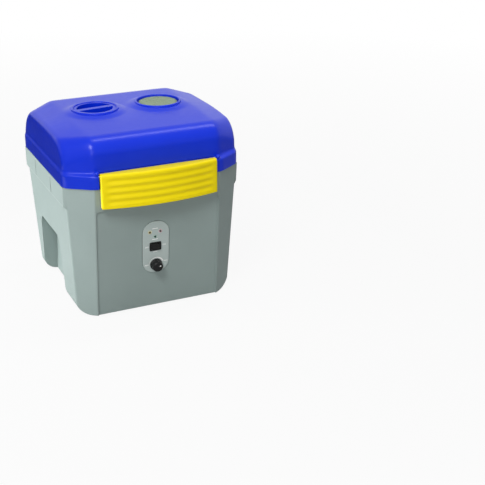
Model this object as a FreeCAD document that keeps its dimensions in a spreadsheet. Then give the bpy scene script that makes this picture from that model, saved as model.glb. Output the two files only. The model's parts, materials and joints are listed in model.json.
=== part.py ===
import FreeCAD, Part
import math
import os
import re
import Sketcher

# Bench-top solder fume extractor.
# A moulded tub on four legs holds a box filter over a centrifugal fan. A hinged hood with two
# round duct ports closes the tub, and a wide pull-out latch holds the hood shut at the front.
# Millimetres. X runs to the right seen from the front, the front faces -Y, Z is up and the
# origin is on the bench, under the middle of the machine.

SIZES = {
    # Whole machine
    "overall_depth": 420.0,
    "overall_width": 405.0,
    "rim_height": 313.0,
    "rim_gap": 0.8,
    "ground_gap": 3.0,
    # Tub: a tapered eight-sided form with legs, arches, a sunk front panel and side collars
    "housing_wall": 3.5,
    "floor_thickness": 5.0,
    "collar_stand": 2.5,
    "top_width": "=overall_width - 2 * collar_stand",
    "side_taper": 16.0,
    "base_width": "=top_width - 2 * side_taper",
    "front_inset": 58.5,
    "front_width": "=overall_width - 2 * front_inset",
    "front_top_setback": 27.4,
    "front_base_setback": 58.7,
    "corner_slope": 0.70,
    "rear_inset": 42.5,
    "rear_width": "=overall_width - 2 * rear_inset",
    "rear_top_setback": 12.5,
    "rear_base_setback": 30.0,
    "rear_slope": 0.5,
    "corner_round": 7.0,
    "base_round": 34.0,
    "panel_margin": 2.0,
    "panel_width": "=front_width - 2 * panel_margin",
    "panel_depth": 3.0,
    "panel_drop": 52.0,
    "panel_top": "=rim_height - panel_drop",
    "panel_round": 7.0,
    "collar_height": 44.0,
    "collar_slope": 6.0,
    "slit_width": 3.0,
    "slit_drop": 7.0,
    "slit_depth": 4.0,
    "slit_front": 41.0,
    "slit_rear": 86.0,
    "arch_height": 162.0,
    "arch_depth": 30.0,
    "arch_front": 42.0,
    "arch_rear_top": 113.0,
    "arch_rear_base": 146.0,
    "arch_round": 26.0,
    "mouth_ledge": 10.0,
    "mouth_front": 13.5,
    # Hood: crowned centre between two creases, sloping shoulders, flat sides, proud skirt
    "lid_wall": 3.0,
    "lid_front_setback": 34.0,
    "lid_rear_setback": 14.5,
    "crease_inset": 1.0,
    "crease_width": "=front_width - 2 * crease_inset",
    "crown_rise": 113.2,
    "lid_top": "=rim_height + rim_gap + crown_rise",
    "front_fall": 10.0,
    "lid_front_top": "=lid_top - front_fall",
    "knee_setback": 175.0,
    "front_roll": 34.0,
    "knee_roll": 150.0,
    "rear_roll": 70.0,
    "lid_side_inset": 3.0,
    "lid_side_width": "=overall_width - 2 * lid_side_inset",
    "side_front_setback": 69.0,
    "side_rear_setback": 27.0,
    "shoulder_fall": 21.0,
    "side_top": "=lid_top - shoulder_fall",
    "side_front_fall": 7.0,
    "side_front_top": "=side_top - side_front_fall",
    "side_rear_fall": 4.0,
    "side_rear_top": "=side_top - side_rear_fall",
    "side_front_roll": 50.0,
    "side_rear_roll": 85.0,
    "skirt_height": 27.0,
    "skirt_slope": 5.0,
    "skirt_front_setback": 22.4,
    "lid_flange": 3.2,
    "crease_blend": 16.0,
    "side_edge": 9.0,
    "skirt_round": 6.0,
    # Duct ports
    "port_spacing": 150.0,
    "port_y": 15.4,
    "port_radius": 53.0,
    "port_bore": 48.0,
    "port_ledge_bore": 44.0,
    "port_height": 7.0,
    "port_bore_depth": 9.0,
    "port_flare": 6.0,
    "port_boss_drop": 9.0,
    "port_lip": 2.0,
    "screen_thickness": 1.4,
    "screen_hole": 4.2,
    "screen_pitch": 5.8,
    "screen_holes": 11,
    "cap_gap": 0.4,
    "cap_sink": 1.5,
    "cap_depth": 28.0,
    "cap_wall": 3.0,
    "cap_bar": 13.0,
    "cap_bar_angle": 30.0,
    # Hood hinge
    "hinge_radius": 5.5,
    "hinge_offset": 0.9,
    "hinge_spacing": 190.0,
    "hinge_width": 42.0,
    "knuckle_width": 20.0,
    "hinge_block": 12.0,
    "hinge_side_gap": 0.4,
    "hinge_pin_radius": 2.5,
    "running_gap": 0.05,
    # Latch
    "latch_inset": 11.5,
    "latch_width": "=front_width - 2 * latch_inset",
    "latch_drop": 43.0,
    "latch_bottom": "=rim_height - latch_drop",
    "latch_height": 77.0,
    "latch_bow": 17.0,
    "latch_wall": 3.5,
    "latch_end_wall": 6.0,
    "latch_back_gap": 1.4,
    "latch_side_gap": 1.0,
    "latch_barrel": 6.5,
    "latch_barrel_gap": 0.5,
    "latch_rod_radius": 2.5,
    "latch_rod_overhang": 8.0,
    "latch_lip": 5.0,
    "latch_edge": 2.5,
    "grip_count": 4,
    "grip_pitch": 15.5,
    "grip_width": 11.0,
    "grip_depth": 2.2,
    "grip_margin": 7.0,
    "catch_drop": 25.0,
    "catch_height": "=rim_height - catch_drop",
    "catch_inset": 32.5,
    "catch_width": "=latch_width - 2 * catch_inset",
    "catch_depth": 3.0,
    "catch_thickness": 5.0,
    # Control plate and what it carries
    "control_x": -6.4,
    "control_z": 152.0,
    "plate_width": 62.0,
    "plate_height": 128.0,
    "plate_thickness": 2.2,
    "window_width": 44.0,
    "window_height": 106.0,
    "led_radius": 2.5,
    "led_flange": 3.3,
    "led_fit": 0.05,
    "led_spread": 12.3,
    "led_x": -2.0,
    "led_upper": 38.6,
    "led_lower": 26.5,
    "switch_x": -1.6,
    "switch_y": 2.7,
    "bezel_width": 27.0,
    "bezel_height": 20.5,
    "bezel_thickness": 2.0,
    "switch_width": 23.4,
    "switch_height": 17.0,
    "switch_depth": 20.0,
    "switch_fit": 0.1,
    "rocker_width": 19.4,
    "rocker_height": 14.2,
    "rocker_end_gap": 0.9,
    "rocker_side_gap": 0.35,
    "rocker_rise": 5.4,
    "rocker_dip": 1.4,
    "rocker_tilt": 7.0,
    "rocker_pivot_radius": 1.5,
    "rocker_floor": 9.0,
    "knob_y": -43.4,
    "knob_radius": 14.0,
    "knob_grip_radius": 12.4,
    "knob_height": 16.0,
    "knob_skirt": 3.5,
    "knob_lift": 0.5,
    "knob_flutes": 14,
    "flute_radius": 1.6,
    "pointer_radius": 1.7,
    "pointer_reach": 8.4,
    "pointer_depth": 0.8,
    "pot_radius": 8.0,
    "pot_depth": 10.0,
    "pot_bush": 4.5,
    "pot_shaft": 3.0,
    "shaft_in": 6.0,
    "shaft_out": 11.0,
    "board_depth": 24.0,
    "board_thickness": 1.6,
    "board_width": 40.0,
    "board_height": 100.0,
    "standoff_radius": 2.6,
    "standoff_inset": 4.0,
    "cover_width": 52.0,
    "cover_height": 112.0,
    "cover_depth": 30.0,
    "cover_wall": 1.6,
    # Filter and its deck
    "deck_thickness": 3.0,
    "deck_gap": 0.3,
    "filter_y": 12.0,
    "filter_side_room": 39.0,
    "filter_width": "=overall_width - 2 * filter_side_room",
    "filter_end_room": 73.0,
    "filter_depth": "=overall_depth - 2 * filter_end_room",
    "filter_drop": 2.5,
    "frame_height": "=rim_height - filter_drop - arch_height - housing_wall - deck_thickness - gasket_thickness",
    "frame_sheet": 0.8,
    "frame_flange": 18.0,
    "gasket_thickness": 5.0,
    "gasket_width": 16.0,
    "pleat_count": 18,
    "pleat_sheet": 1.4,
    "media_gap": 0.4,
    "prefilter_thickness": 8.0,
    "prefilter_inset": 2.0,
    "seal_width": 7.0,
    "seal_seat": 3.0,
    "seal_gap": 0.3,
    # Fan
    "inlet_radius": 62.0,
    "inlet_flange": 84.0,
    "inlet_drop": 17.0,
    "inlet_sheet": 1.5,
    "fan_radius": 95.0,
    "fan_eye": 66.0,
    "fan_drop": 10.5,
    "fan_top": "=arch_height + housing_wall - fan_drop",
    "fan_height": 58.0,
    "fan_sheet": 2.0,
    "fan_shroud_drop": 14.0,
    "blade_count": 9,
    "blade_lean": 42.0,
    "hub_radius": 16.0,
    "hub_height": 18.0,
    "shaft_radius": 5.0,
    "shaft_reach": 34.0,
    "motor_radius": 46.0,
    "motor_height": 64.0,
    "motor_cap_radius": 22.0,
    "motor_cap_height": 6.0,
    "motor_fins": 20,
    "fin_depth": 3.0,
    "fin_width": 5.0,
    "mount_radius": 82.0,
    "mount_top_radius": 50.0,
    "mount_height": 14.0,
    "mount_sheet": 2.5,
    # Underside
    "cover_plate_depth": 236.0,
    "cover_plate_sheet": 2.0,
    "cover_overlap": 14.0,
    "cover_gap": 0.3,
    "foot_radius": 12.0,
    "foot_taper": 2.0,
    "foot_seat": 3.0,
    "foot_side_inset": 50.0,
    "foot_x": "=base_width / 2 - foot_side_inset",
    "foot_front_inset": 106.0,
    "foot_front": "=overall_depth / 2 - foot_front_inset",
    "foot_rear_inset": 64.0,
    "foot_rear": "=overall_depth / 2 - foot_rear_inset",
    "foot_clearance": 4.0,
    "cover_plate_width": "=2 * (foot_x - foot_radius - foot_clearance)",
    "screw_radius": 2.0,
    "screw_head": 4.0,
    "screw_head_height": 1.8,
    "screw_length": 6.0,
    # Rear outlets
    "grille_x": 25.0,
    "grille_z": 86.0,
    "grille_width": 190.0,
    "grille_height": 100.0,
    "grille_border": 8.0,
    "grille_thickness": 3.0,
    "slot_width": 78.0,
    "slot_height": 4.6,
    "slot_pitch": 8.6,
    "slot_rows": 9,
    "slot_gap": 10.0,
    "inlet_x": -121.0,
    "inlet_z": 76.0,
    "socket_flange_width": 40.0,
    "socket_flange_height": 31.0,
    "socket_flange": 3.0,
    "socket_width": 28.0,
    "socket_height": 22.0,
    "socket_depth": 24.0,
    "socket_wall": 2.2,
    "socket_well": 16.0,
    "socket_fit": 0.3,
    "blade_width": 2.0,
    "blade_height": 4.0,
    "blade_length": 13.0,
    "blade_spacing": 7.0,
    "blade_drop": 4.0,
}

FULL_TURN = 360
V = FreeCAD.Vector
AXIS_TURN = {
    "X": FreeCAD.Rotation(V(0, 1, 0), 90),
    "Y": FreeCAD.Rotation(V(1, 0, 0), -90),
    "Z": FreeCAD.Rotation(),
}

doc = FreeCAD.newDocument("fume_extractor")
sheet = doc.addObject("Spreadsheet::Sheet", "Sizes")
for row, alias in enumerate(SIZES, start=1):
    sheet.set(f"A{row}", alias)
    sheet.setAlias(f"B{row}", alias)
for row, size in enumerate(SIZES.values(), start=1):
    sheet.set(f"B{row}", str(size))
doc.recompute()

nodes = {}


# Expressions: a size is written by its bare name and looked up in the sheet
def linked(text):
    return re.sub(
        r"[a-z][a-z_0-9]*",
        lambda word: f"Sizes.{word[0]}" if word[0] in SIZES else word[0],
        str(text),
    )


def number(text):
    return float(sheet.evalExpression(linked(text)))


def bind(item, prop, text):
    item.setExpression(prop, linked(text))


def node(label, item):
    item.Label = label
    nodes[label] = item
    return item


# Sketches
def origin_plane(body, role):
    for item in body.Origin.OriginFeatures:
        if item.Role == role:
            return item
    raise ValueError(role)


def sketch(body, name, role, offset="0", origin=("0", "0")):
    made = body.newObject("Sketcher::SketchObject", name)
    made.AttachmentSupport = [(origin_plane(body, role), "")]
    made.MapMode = "FlatFace"
    for letter, text in zip("xyz", (*origin, offset)):
        bind(made, f"AttachmentOffset.Base.{letter}", text)
    return made


def pin_point(made, geometry, end, x, y):
    for kind, text in (("DistanceX", x), ("DistanceY", y)):
        start = number(text)
        index = made.addConstraint(Sketcher.Constraint(kind, -1, 1, geometry, end, start))
        bind(made, f"Constraints[{index}]", text)


def bind_radius(made, geometry, text):
    index = made.addConstraint(Sketcher.Constraint("Radius", geometry, number(text)))
    bind(made, f"Constraints[{index}]", text)


def circle(made, radius, x="0", y="0"):
    shape = Part.Circle(V(number(x), number(y), 0), V(0, 0, 1), number(radius))
    index = made.addGeometry(shape, False)
    bind_radius(made, index, radius)
    pin_point(made, index, 3, x, y)


def outline(made, corners):
    """Closed outline through corners (x, y) or rounded corners (x, y, radius)."""
    spots = [V(number(corner[0]), number(corner[1]), 0) for corner in corners]
    count = len(corners)
    entries, exits, centres = [], [], []
    for index, corner in enumerate(corners):
        spot = spots[index]
        before = (spots[index - 1] - spot).normalize()
        after = (spots[(index + 1) % count] - spot).normalize()
        centre = None
        reach = 0.0
        if len(corner) == 3:
            half = before.getAngle(after) / 2
            reach = number(corner[2]) / math.tan(half)
            centre = spot + (before + after).normalize() * (number(corner[2]) / math.sin(half))
        entries.append(spot + before * reach)
        exits.append(spot + after * reach)
        centres.append(centre)
    lines = []
    for index in range(count):
        segment = Part.LineSegment(exits[index], entries[(index + 1) % count])
        lines.append(made.addGeometry(segment, False))
    for index, corner in enumerate(corners):
        arriving = lines[index - 1]
        leaving = lines[index]
        if centres[index] is None:
            made.addConstraint(Sketcher.Constraint("Coincident", arriving, 2, leaving, 1))
            pin_point(made, leaving, 1, corner[0], corner[1])
            continue
        turn = (entries[index] - spots[index - 1]).cross(exits[index] - entries[index]).z
        ends = (entries[index], exits[index]) if turn > 0 else (exits[index], entries[index])
        angles = [math.atan2(end.y - centres[index].y, end.x - centres[index].x) for end in ends]
        round_ = Part.Circle(centres[index], V(0, 0, 1), number(corner[2]))
        arc = made.addGeometry(Part.ArcOfCircle(round_, angles[0], angles[1]), False)
        first, last = (1, 2) if turn > 0 else (2, 1)
        point = made.addGeometry(Part.Point(spots[index]), True)
        made.addConstraint(Sketcher.Constraint("Tangent", arriving, 2, arc, first))
        made.addConstraint(Sketcher.Constraint("Tangent", arc, last, leaving, 1))
        made.addConstraint(Sketcher.Constraint("PointOnObject", point, 1, arriving))
        made.addConstraint(Sketcher.Constraint("PointOnObject", point, 1, leaving))
        bind_radius(made, arc, corner[2])
        pin_point(made, point, 1, corner[0], corner[1])


def rectangle(made, width, height, x="0", y="0", radius=None):
    corners = []
    for right, up in ((-1, -1), (1, -1), (1, 1), (-1, 1)):
        corner = (f"{x} + {right} * ({width}) / 2", f"{y} + {up} * ({height}) / 2")
        corners.append(corner if radius is None else (*corner, radius))
    outline(made, corners)


# Body features
def new_body(name):
    return doc.addObject("PartDesign::Body", name)


def extruded(body, kind, profile, length, symmetric, reverse):
    feature = body.newObject(f"PartDesign::{kind}", f"{profile.Name}_{kind}")
    feature.Profile = profile
    feature.Reversed = reverse
    if symmetric:
        feature.SideType = "Symmetric"
    if length is None:
        feature.Type = "ThroughAll"
    else:
        bind(feature, "Length", length)
    doc.recompute()
    return feature


def pad(body, profile, length, symmetric=False, reverse=False):
    return extruded(body, "Pad", profile, length, symmetric, reverse)


def pocket(body, profile, length=None, symmetric=False, reverse=False):
    before = body.Shape.Volume
    feature = extruded(body, "Pocket", profile, length, symmetric, reverse)
    if body.Shape.Volume >= before:
        raise RuntimeError(f"{feature.Name} cuts nothing")
    return feature


def loft(body, kind, profiles):
    feature = body.newObject(f"PartDesign::{kind}Loft", f"{profiles[0].Name}_loft")
    feature.Profile = profiles[0]
    feature.Sections = profiles[1:]
    feature.Ruled = True
    doc.recompute()
    return feature


def turned(body, kind, profile, angle=FULL_TURN):
    feature = body.newObject(f"PartDesign::{kind}", f"{profile.Name}_{kind}")
    feature.Profile = profile
    feature.ReferenceAxis = (profile, ["V_Axis"])
    feature.Midplane = True
    bind(feature, "Angle", angle)
    doc.recompute()
    return feature


def mirrored(body, features):
    feature = body.newObject("PartDesign::Mirrored", f"{features[0].Name}_mirrored")
    feature.Originals = features
    feature.MirrorPlane = (origin_plane(body, "YZ_Plane"), [""])
    body.Tip = feature
    doc.recompute()
    return feature


def polar(body, feature, count):
    pattern = body.newObject("PartDesign::PolarPattern", f"{feature.Name}_polar")
    pattern.Originals = [feature]
    pattern.Axis = (origin_line(body, "Z_Axis"), [""])
    pattern.Angle = FULL_TURN
    bind(pattern, "Occurrences", count)
    body.Tip = pattern
    doc.recompute()
    return pattern


def origin_line(body, role):
    return origin_plane(body, role)


def edge_finish(body, kind, size_name, size, chosen):
    """Round or bevel the edges of the body's tip for which chosen(edge) is true."""
    base = body.Tip
    names = [
        f"Edge{index}"
        for index, edge in enumerate(base.Shape.Edges, start=1)
        if chosen(edge)
    ]
    feature = body.newObject(f"PartDesign::{kind}", f"{base.Name}_{kind}")
    feature.Base = (base, names)
    bind(feature, size_name, size)
    doc.recompute()
    return feature


def rounded(body, radius, chosen):
    return edge_finish(body, "Fillet", "Radius", radius, chosen)


# Primitives
def place(item, x, y, z):
    for letter, text in zip("xyz", (x, y, z)):
        bind(item, f"Placement.Base.{letter}", text)
    return item


def block(name, size, corner):
    made = doc.addObject("Part::Box", name)
    for prop, text in zip(("Length", "Width", "Height"), size):
        bind(made, prop, text)
    return place(made, *corner)


def centred_block(name, size, middle, bottom):
    corner = (f"{middle[0]} - ({size[0]}) / 2", f"{middle[1]} - ({size[1]}) / 2", bottom)
    return block(name, size, corner)


def rod(name, radius, length, start, axis="Z"):
    made = doc.addObject("Part::Cylinder", name)
    bind(made, "Radius", radius)
    bind(made, "Height", length)
    made.Placement.Rotation = AXIS_TURN[axis]
    return place(made, *start)


def combined(kind, name, items):
    made = doc.addObject(f"Part::{kind}", name)
    if kind == "Cut":
        made.Base, made.Tool = items
    elif kind == "Compound":
        made.Links = items
    else:
        made.Shapes = items
    doc.recompute()
    return made


# Driving planes and outlines that several pieces share
REACH = "(overall_depth / 2)"
FRONT_TOP = f"(front_top_setback - {REACH})"
FRONT_BASE = f"(front_base_setback - {REACH})"
REAR_TOP = f"({REACH} - rear_top_setback)"
REAR_BASE = f"({REACH} - rear_base_setback)"
LID_FRONT = f"(lid_front_setback - {REACH})"
LID_REAR = f"({REACH} - lid_rear_setback)"
LID_BASE = "(rim_height + rim_gap)"
SKIRT_FRONT = f"(skirt_front_setback - {REACH})"
DECK = "(arch_height + housing_wall)"
DECK_TOP = f"({DECK} + deck_thickness)"
ARCH_WALL = "(base_width / 2 - arch_depth)"
COLLAR_LOW = "(rim_height - collar_height)"
HINGE_Y = f"({REACH} - hinge_radius)"
HINGE_Z = "(rim_height + hinge_offset)"
PIVOT_Y = f"({LID_FRONT} - latch_barrel - latch_barrel_gap)"
PIVOT_Z = "(latch_bottom + latch_height - latch_barrel)"
PANEL_TILT = f"atan(({FRONT_BASE} - {FRONT_TOP}) / (rim_height - ground_gap))"
REAR_TILT = f"atan(({REAR_TOP} - {REAR_BASE}) / (rim_height - ground_gap))"


def tapered(low, high, z):
    return f"({low} + ({high} - {low}) * (({z}) - ground_gap) / (rim_height - ground_gap))"


def half_width(z):
    return tapered("base_width / 2", "top_width / 2", z)


def front_y(z):
    return tapered(FRONT_BASE, FRONT_TOP, z)


def rear_y(z):
    return tapered(REAR_BASE, REAR_TOP, z)


def corner_front(x, front, front_half="front_width / 2"):
    return f"({front} + corner_slope * ({x} - ({front_half})))"


def corner_rear(x, rear, rear_half="rear_width / 2"):
    return f"({rear} - rear_slope * ({x} - ({rear_half})))"


def octagon(half, front, rear, inset="0", radius=None):
    """Plan with slanted corners, for a half width and a front and rear line."""
    front_half = f"(front_width / 2 - ({inset}))"
    rear_half = f"(rear_width / 2 - ({inset}))"
    right = [
        (front_half, front),
        (half, corner_front(half, front, front_half)),
        (half, corner_rear(half, rear, rear_half)),
        (rear_half, rear),
    ]
    left = [(f"-({x})", y) for x, y in reversed(right)]
    if radius is None:
        return right + left
    return [(x, y, radius) for x, y in right + left]


def mouth(grow="0"):
    """Opening of the tub and of the hood's flange, grown outward by a width."""
    half = f"(top_width / 2 - housing_wall - mouth_ledge + ({grow}))"
    front = f"({FRONT_TOP} + panel_depth + housing_wall + mouth_front - ({grow}))"
    rear = f"({REAR_TOP} - housing_wall - mouth_ledge + ({grow}))"
    return octagon(half, front, rear, f"(mouth_ledge - ({grow}))")


def on_front(item, x, z):
    """Stand a piece on the sunk front panel: its own +Z points out of the panel."""
    item.Placement = FreeCAD.Placement(V(), FreeCAD.Rotation(V(1, 0, 0), 90))
    bind(item, "Placement.Rotation.Angle", f"90 deg + {PANEL_TILT}")
    return place(item, x, f"{front_y(z)} + panel_depth", z)


def on_control(item):
    return on_front(item, "control_x", "control_z")


def on_rear(item, x, z):
    """Stand a piece on the rear wall: its own +Z points backwards, its own +Y down."""
    item.Placement = FreeCAD.Placement(V(), FreeCAD.Rotation(V(1, 0, 0), -90))
    bind(item, "Placement.Rotation.Angle", f"-90 deg - {REAR_TILT}")
    return place(item, x, rear_y(z), z)


# Tub
def collar_strip(body, name, side, z, half):
    made = sketch(body, name, "XY_Plane", z)
    inner = "(top_width / 2 - housing_wall)"
    corners = [
        (inner, corner_front(inner, front_y(z))),
        (half, corner_front(half, front_y(z))),
        (half, corner_rear(half, rear_y(z))),
        (inner, corner_rear(inner, rear_y(z))),
    ]
    outline(made, [(f"{side} * {x}", y) for x, y in corners[::side]])
    return made


def main_housing():
    body = new_body("Housing")
    levels = [("ground_gap", "tub_base"), ("rim_height", "tub_top")]
    plans = []
    for level, name in levels:
        plan = sketch(body, name, "XY_Plane", level)
        outline(plan, octagon(
            half_width(level), front_y(level), rear_y(level), radius="corner_round"
        ))
        plans.append(plan)
    loft(body, "Additive", plans)

    # Rounded foot of each side wall
    heel = sketch(body, "side_heel", "XZ_Plane")
    outside = "(base_width)"
    high = "(ground_gap + 3 * base_round)"
    low = "(ground_gap - base_round)"
    outline(heel, [
        ("base_width / 4", low),
        (outside, low),
        (outside, high),
        (half_width(high), high),
        ("base_width / 2", "ground_gap", "base_round"),
        ("base_width / 4", "ground_gap"),
    ])
    mirrored(body, [pocket(body, heel, symmetric=True)])

    # Collars on both sides, flush with the slanted corners
    foot_half = half_width(f"{COLLAR_LOW} - collar_slope")
    for side in (-1, 1):
        loft(body, "Additive", [
            collar_strip(body, "collar_foot", side, f"({COLLAR_LOW} - collar_slope)", foot_half),
            collar_strip(body, "collar_low", side, COLLAR_LOW, "(overall_width / 2)"),
            collar_strip(body, "collar_high", side, "rim_height", "(overall_width / 2)"),
        ])
    slits = sketch(body, "collar_slits", "YZ_Plane", "overall_width / 2 - slit_depth")
    slit_height = "(collar_height - slit_drop)"
    for y in ("-slit_front", "slit_rear"):
        rectangle(slits, "slit_width", slit_height, y, f"{COLLAR_LOW} + {slit_height} / 2")
    mirrored(body, [pocket(body, slits, reverse=True)])

    # Sunk front panel, on a plane tilted with the front
    panel = sketch(body, "front_panel", "XZ_Plane", f"-({front_y('0')} + panel_depth)")
    panel.AttachmentOffset.Rotation = FreeCAD.Rotation(V(1, 0, 0), 1)
    bind(panel, "AttachmentOffset.Rotation.Angle", PANEL_TILT)
    outline(panel, [
        ("-panel_width / 2", "-panel_top / 10"),
        ("panel_width / 2", "-panel_top / 10"),
        ("panel_width / 2", "panel_top", "panel_round"),
        ("-panel_width / 2", "panel_top", "panel_round"),
    ])
    pocket(body, panel, reverse=True)

    # Arches between the legs
    arch = sketch(body, "leg_arch", "YZ_Plane", ARCH_WALL)
    outline(arch, [
        ("-arch_front", "0"),
        ("arch_rear_base", "0"),
        ("arch_rear_top", "arch_height", "arch_round"),
        ("-arch_front", "arch_height", "arch_round"),
    ])
    mirrored(body, [pocket(body, arch, reverse=True)])

    # Fan chamber between the arches, filter chamber above it, mouth with a seal seat
    floor = "(ground_gap + floor_thickness)"
    chamber_half = f"({ARCH_WALL} - housing_wall)"
    plans = []
    for level, name in ((floor, "fan_floor"), (DECK, "fan_ceiling")):
        plan = sketch(body, name, "XY_Plane", level)
        front = f"({front_y(level)} + panel_depth + housing_wall)"
        rear = f"({rear_y(level)} - housing_wall)"
        outline(plan, [
            (f"-{chamber_half}", front),
            (chamber_half, front),
            (chamber_half, rear),
            (f"-{chamber_half}", rear),
        ])
        plans.append(plan)
    loft(body, "Subtractive", plans)
    legs = sketch(body, "leg_hollows", "XY_Plane", DECK)
    heel_top = "(ground_gap + base_round)"
    leg_half = f"({half_width(heel_top)} - housing_wall)"
    leg_front = f"({front_y(heel_top)} + panel_depth + housing_wall)"
    leg_rear = f"({rear_y(heel_top)} - housing_wall)"
    front_edge = "(-arch_front - housing_wall)"
    rear_edge = "(arch_rear_base + housing_wall)"
    inset = "front_width / 2 - housing_wall"
    outline(legs, [
        (chamber_half, corner_front(chamber_half, leg_front, inset)),
        (leg_half, corner_front(leg_half, leg_front, inset)),
        (leg_half, front_edge),
        (chamber_half, front_edge),
    ])
    outline(legs, [
        (chamber_half, rear_edge),
        (f"{leg_half} - housing_wall", rear_edge),
        (chamber_half, corner_rear(chamber_half, leg_rear)),
    ])
    mirrored(body, [pocket(body, legs, f"{DECK} - {heel_top}")])
    plans = []
    for level, name in ((DECK, "filter_floor"), ("(rim_height - mouth_ledge)", "filter_ceiling")):
        plan = sketch(body, name, "XY_Plane", level)
        outline(plan, octagon(
            f"({half_width(level)} - housing_wall)",
            f"({front_y(level)} + panel_depth + housing_wall)",
            f"({rear_y(level)} - housing_wall)",
            "housing_wall",
        ))
        plans.append(plan)
    loft(body, "Subtractive", plans)
    opening = sketch(body, "tub_mouth", "XY_Plane", "rim_height")
    outline(opening, mouth())
    pocket(body, opening, "mouth_ledge * 1.5")
    seat = sketch(body, "seal_seat_cut", "XY_Plane", "rim_height")
    outline(seat, mouth("seal_width"))
    pocket(body, seat, "seal_seat")

    # Underside: service opening, its cover's seat, foot sockets and screw holes
    service = sketch(body, "service_opening", "XY_Plane", "ground_gap")
    rectangle(
        service,
        "cover_plate_width - 2 * cover_overlap",
        "cover_plate_depth - 2 * cover_overlap",
        "0",
        "filter_y",
    )
    pocket(body, service, "2 * floor_thickness", reverse=True)
    cover_seat = sketch(body, "cover_seat", "XY_Plane", "ground_gap")
    rectangle(
        cover_seat,
        "cover_plate_width + 2 * cover_gap",
        "cover_plate_depth + 2 * cover_gap",
        "0",
        "filter_y",
    )
    pocket(body, cover_seat, "cover_plate_sheet", reverse=True)
    sockets = sketch(body, "foot_sockets", "XY_Plane", "ground_gap")
    for x, y in FOOT_SPOTS:
        circle(sockets, "foot_radius", x, y)
    pocket(body, sockets, "foot_seat", reverse=True)
    holes = sketch(body, "cover_screw_holes", "XY_Plane", "ground_gap")
    for x, y in COVER_SCREW_SPOTS:
        circle(holes, "screw_radius + running_gap", x, y)
    pocket(body, holes, "2 * floor_thickness", reverse=True)

    # Windows for the control plate, the mains inlet and the exhaust grille
    window = sketch(body, "control_window", "XZ_Plane", f"-({front_y('0')} + 2 * overall_depth / 10)")
    rectangle(window, "window_width", "window_height", "control_x", "control_z")
    pocket(body, window, reverse=True)
    outlets = sketch(body, "rear_windows", "XZ_Plane", f"-({REAR_BASE} - 5 * housing_wall)")
    rectangle(
        outlets,
        "grille_width - 2 * grille_border",
        "grille_height - 2 * grille_border",
        "grille_x",
        "grille_z",
    )
    rectangle(
        outlets,
        "socket_width + 2 * socket_fit",
        "socket_height + 6 * socket_fit",
        "inlet_x",
        "inlet_z",
    )
    pocket(body, outlets)

    # Hinge ears and latch catch
    ear_start = "(hinge_spacing / 2 - hinge_width / 2)"
    ear = sketch(body, "hinge_ear_round", "YZ_Plane", ear_start)
    circle(ear, "hinge_radius", HINGE_Y, HINGE_Z)
    ear_round = pad(body, ear, "hinge_width")
    stem = sketch(body, "hinge_ear_stem", "YZ_Plane", ear_start)
    outline(stem, [
        (f"{HINGE_Y} - hinge_block", f"{HINGE_Z} - hinge_block"),
        (f"{HINGE_Y} + hinge_radius", f"{HINGE_Z} - hinge_radius", "hinge_radius / 2"),
        (f"{HINGE_Y} + hinge_radius", HINGE_Z),
        (f"{HINGE_Y} - hinge_block", "rim_height"),
    ])
    ear_stem = pad(body, stem, "hinge_width")
    gap = sketch(body, "hinge_gap", "YZ_Plane", "hinge_spacing / 2 - knuckle_width / 2 - hinge_side_gap")
    rectangle(
        gap,
        "4 * hinge_radius",
        "4 * hinge_radius",
        f"{REAR_TOP} + rim_gap + 2 * hinge_radius",
        HINGE_Z,
    )
    ear_gap = pocket(body, gap, "knuckle_width + 2 * hinge_side_gap", reverse=True)
    bore = sketch(body, "hinge_bore", "YZ_Plane", ear_start)
    circle(bore, "hinge_pin_radius", HINGE_Y, HINGE_Z)
    ear_bore = pocket(body, bore, "hinge_width", reverse=True)
    mirrored(body, [ear_round, ear_stem, ear_gap, ear_bore])
    catch = sketch(body, "latch_catch", "YZ_Plane")
    face = front_y("catch_height")
    outline(catch, [
        (f"{face} - catch_depth", "catch_height - catch_thickness / 2"),
        (f"{face} + catch_depth", "catch_height - catch_thickness"),
        (f"{face} + catch_depth", "catch_height + catch_thickness"),
        (f"{face} - catch_depth", "catch_height + catch_thickness / 2"),
    ])
    pad(body, catch, "catch_width", symmetric=True)
    return node("main_housing", body)


FOOT_SPOTS = [
    (f"{side} * foot_x", y) for side in (-1, 1) for y in ("-foot_front", "foot_rear")
]
COVER_SCREW_SPOTS = [
    (
        f"{across} * (cover_plate_width - cover_overlap) / 2",
        f"filter_y + {along} * (cover_plate_depth - cover_overlap) / 2",
    )
    for across in (-1, 1)
    for along in (-1, 1)
]


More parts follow.
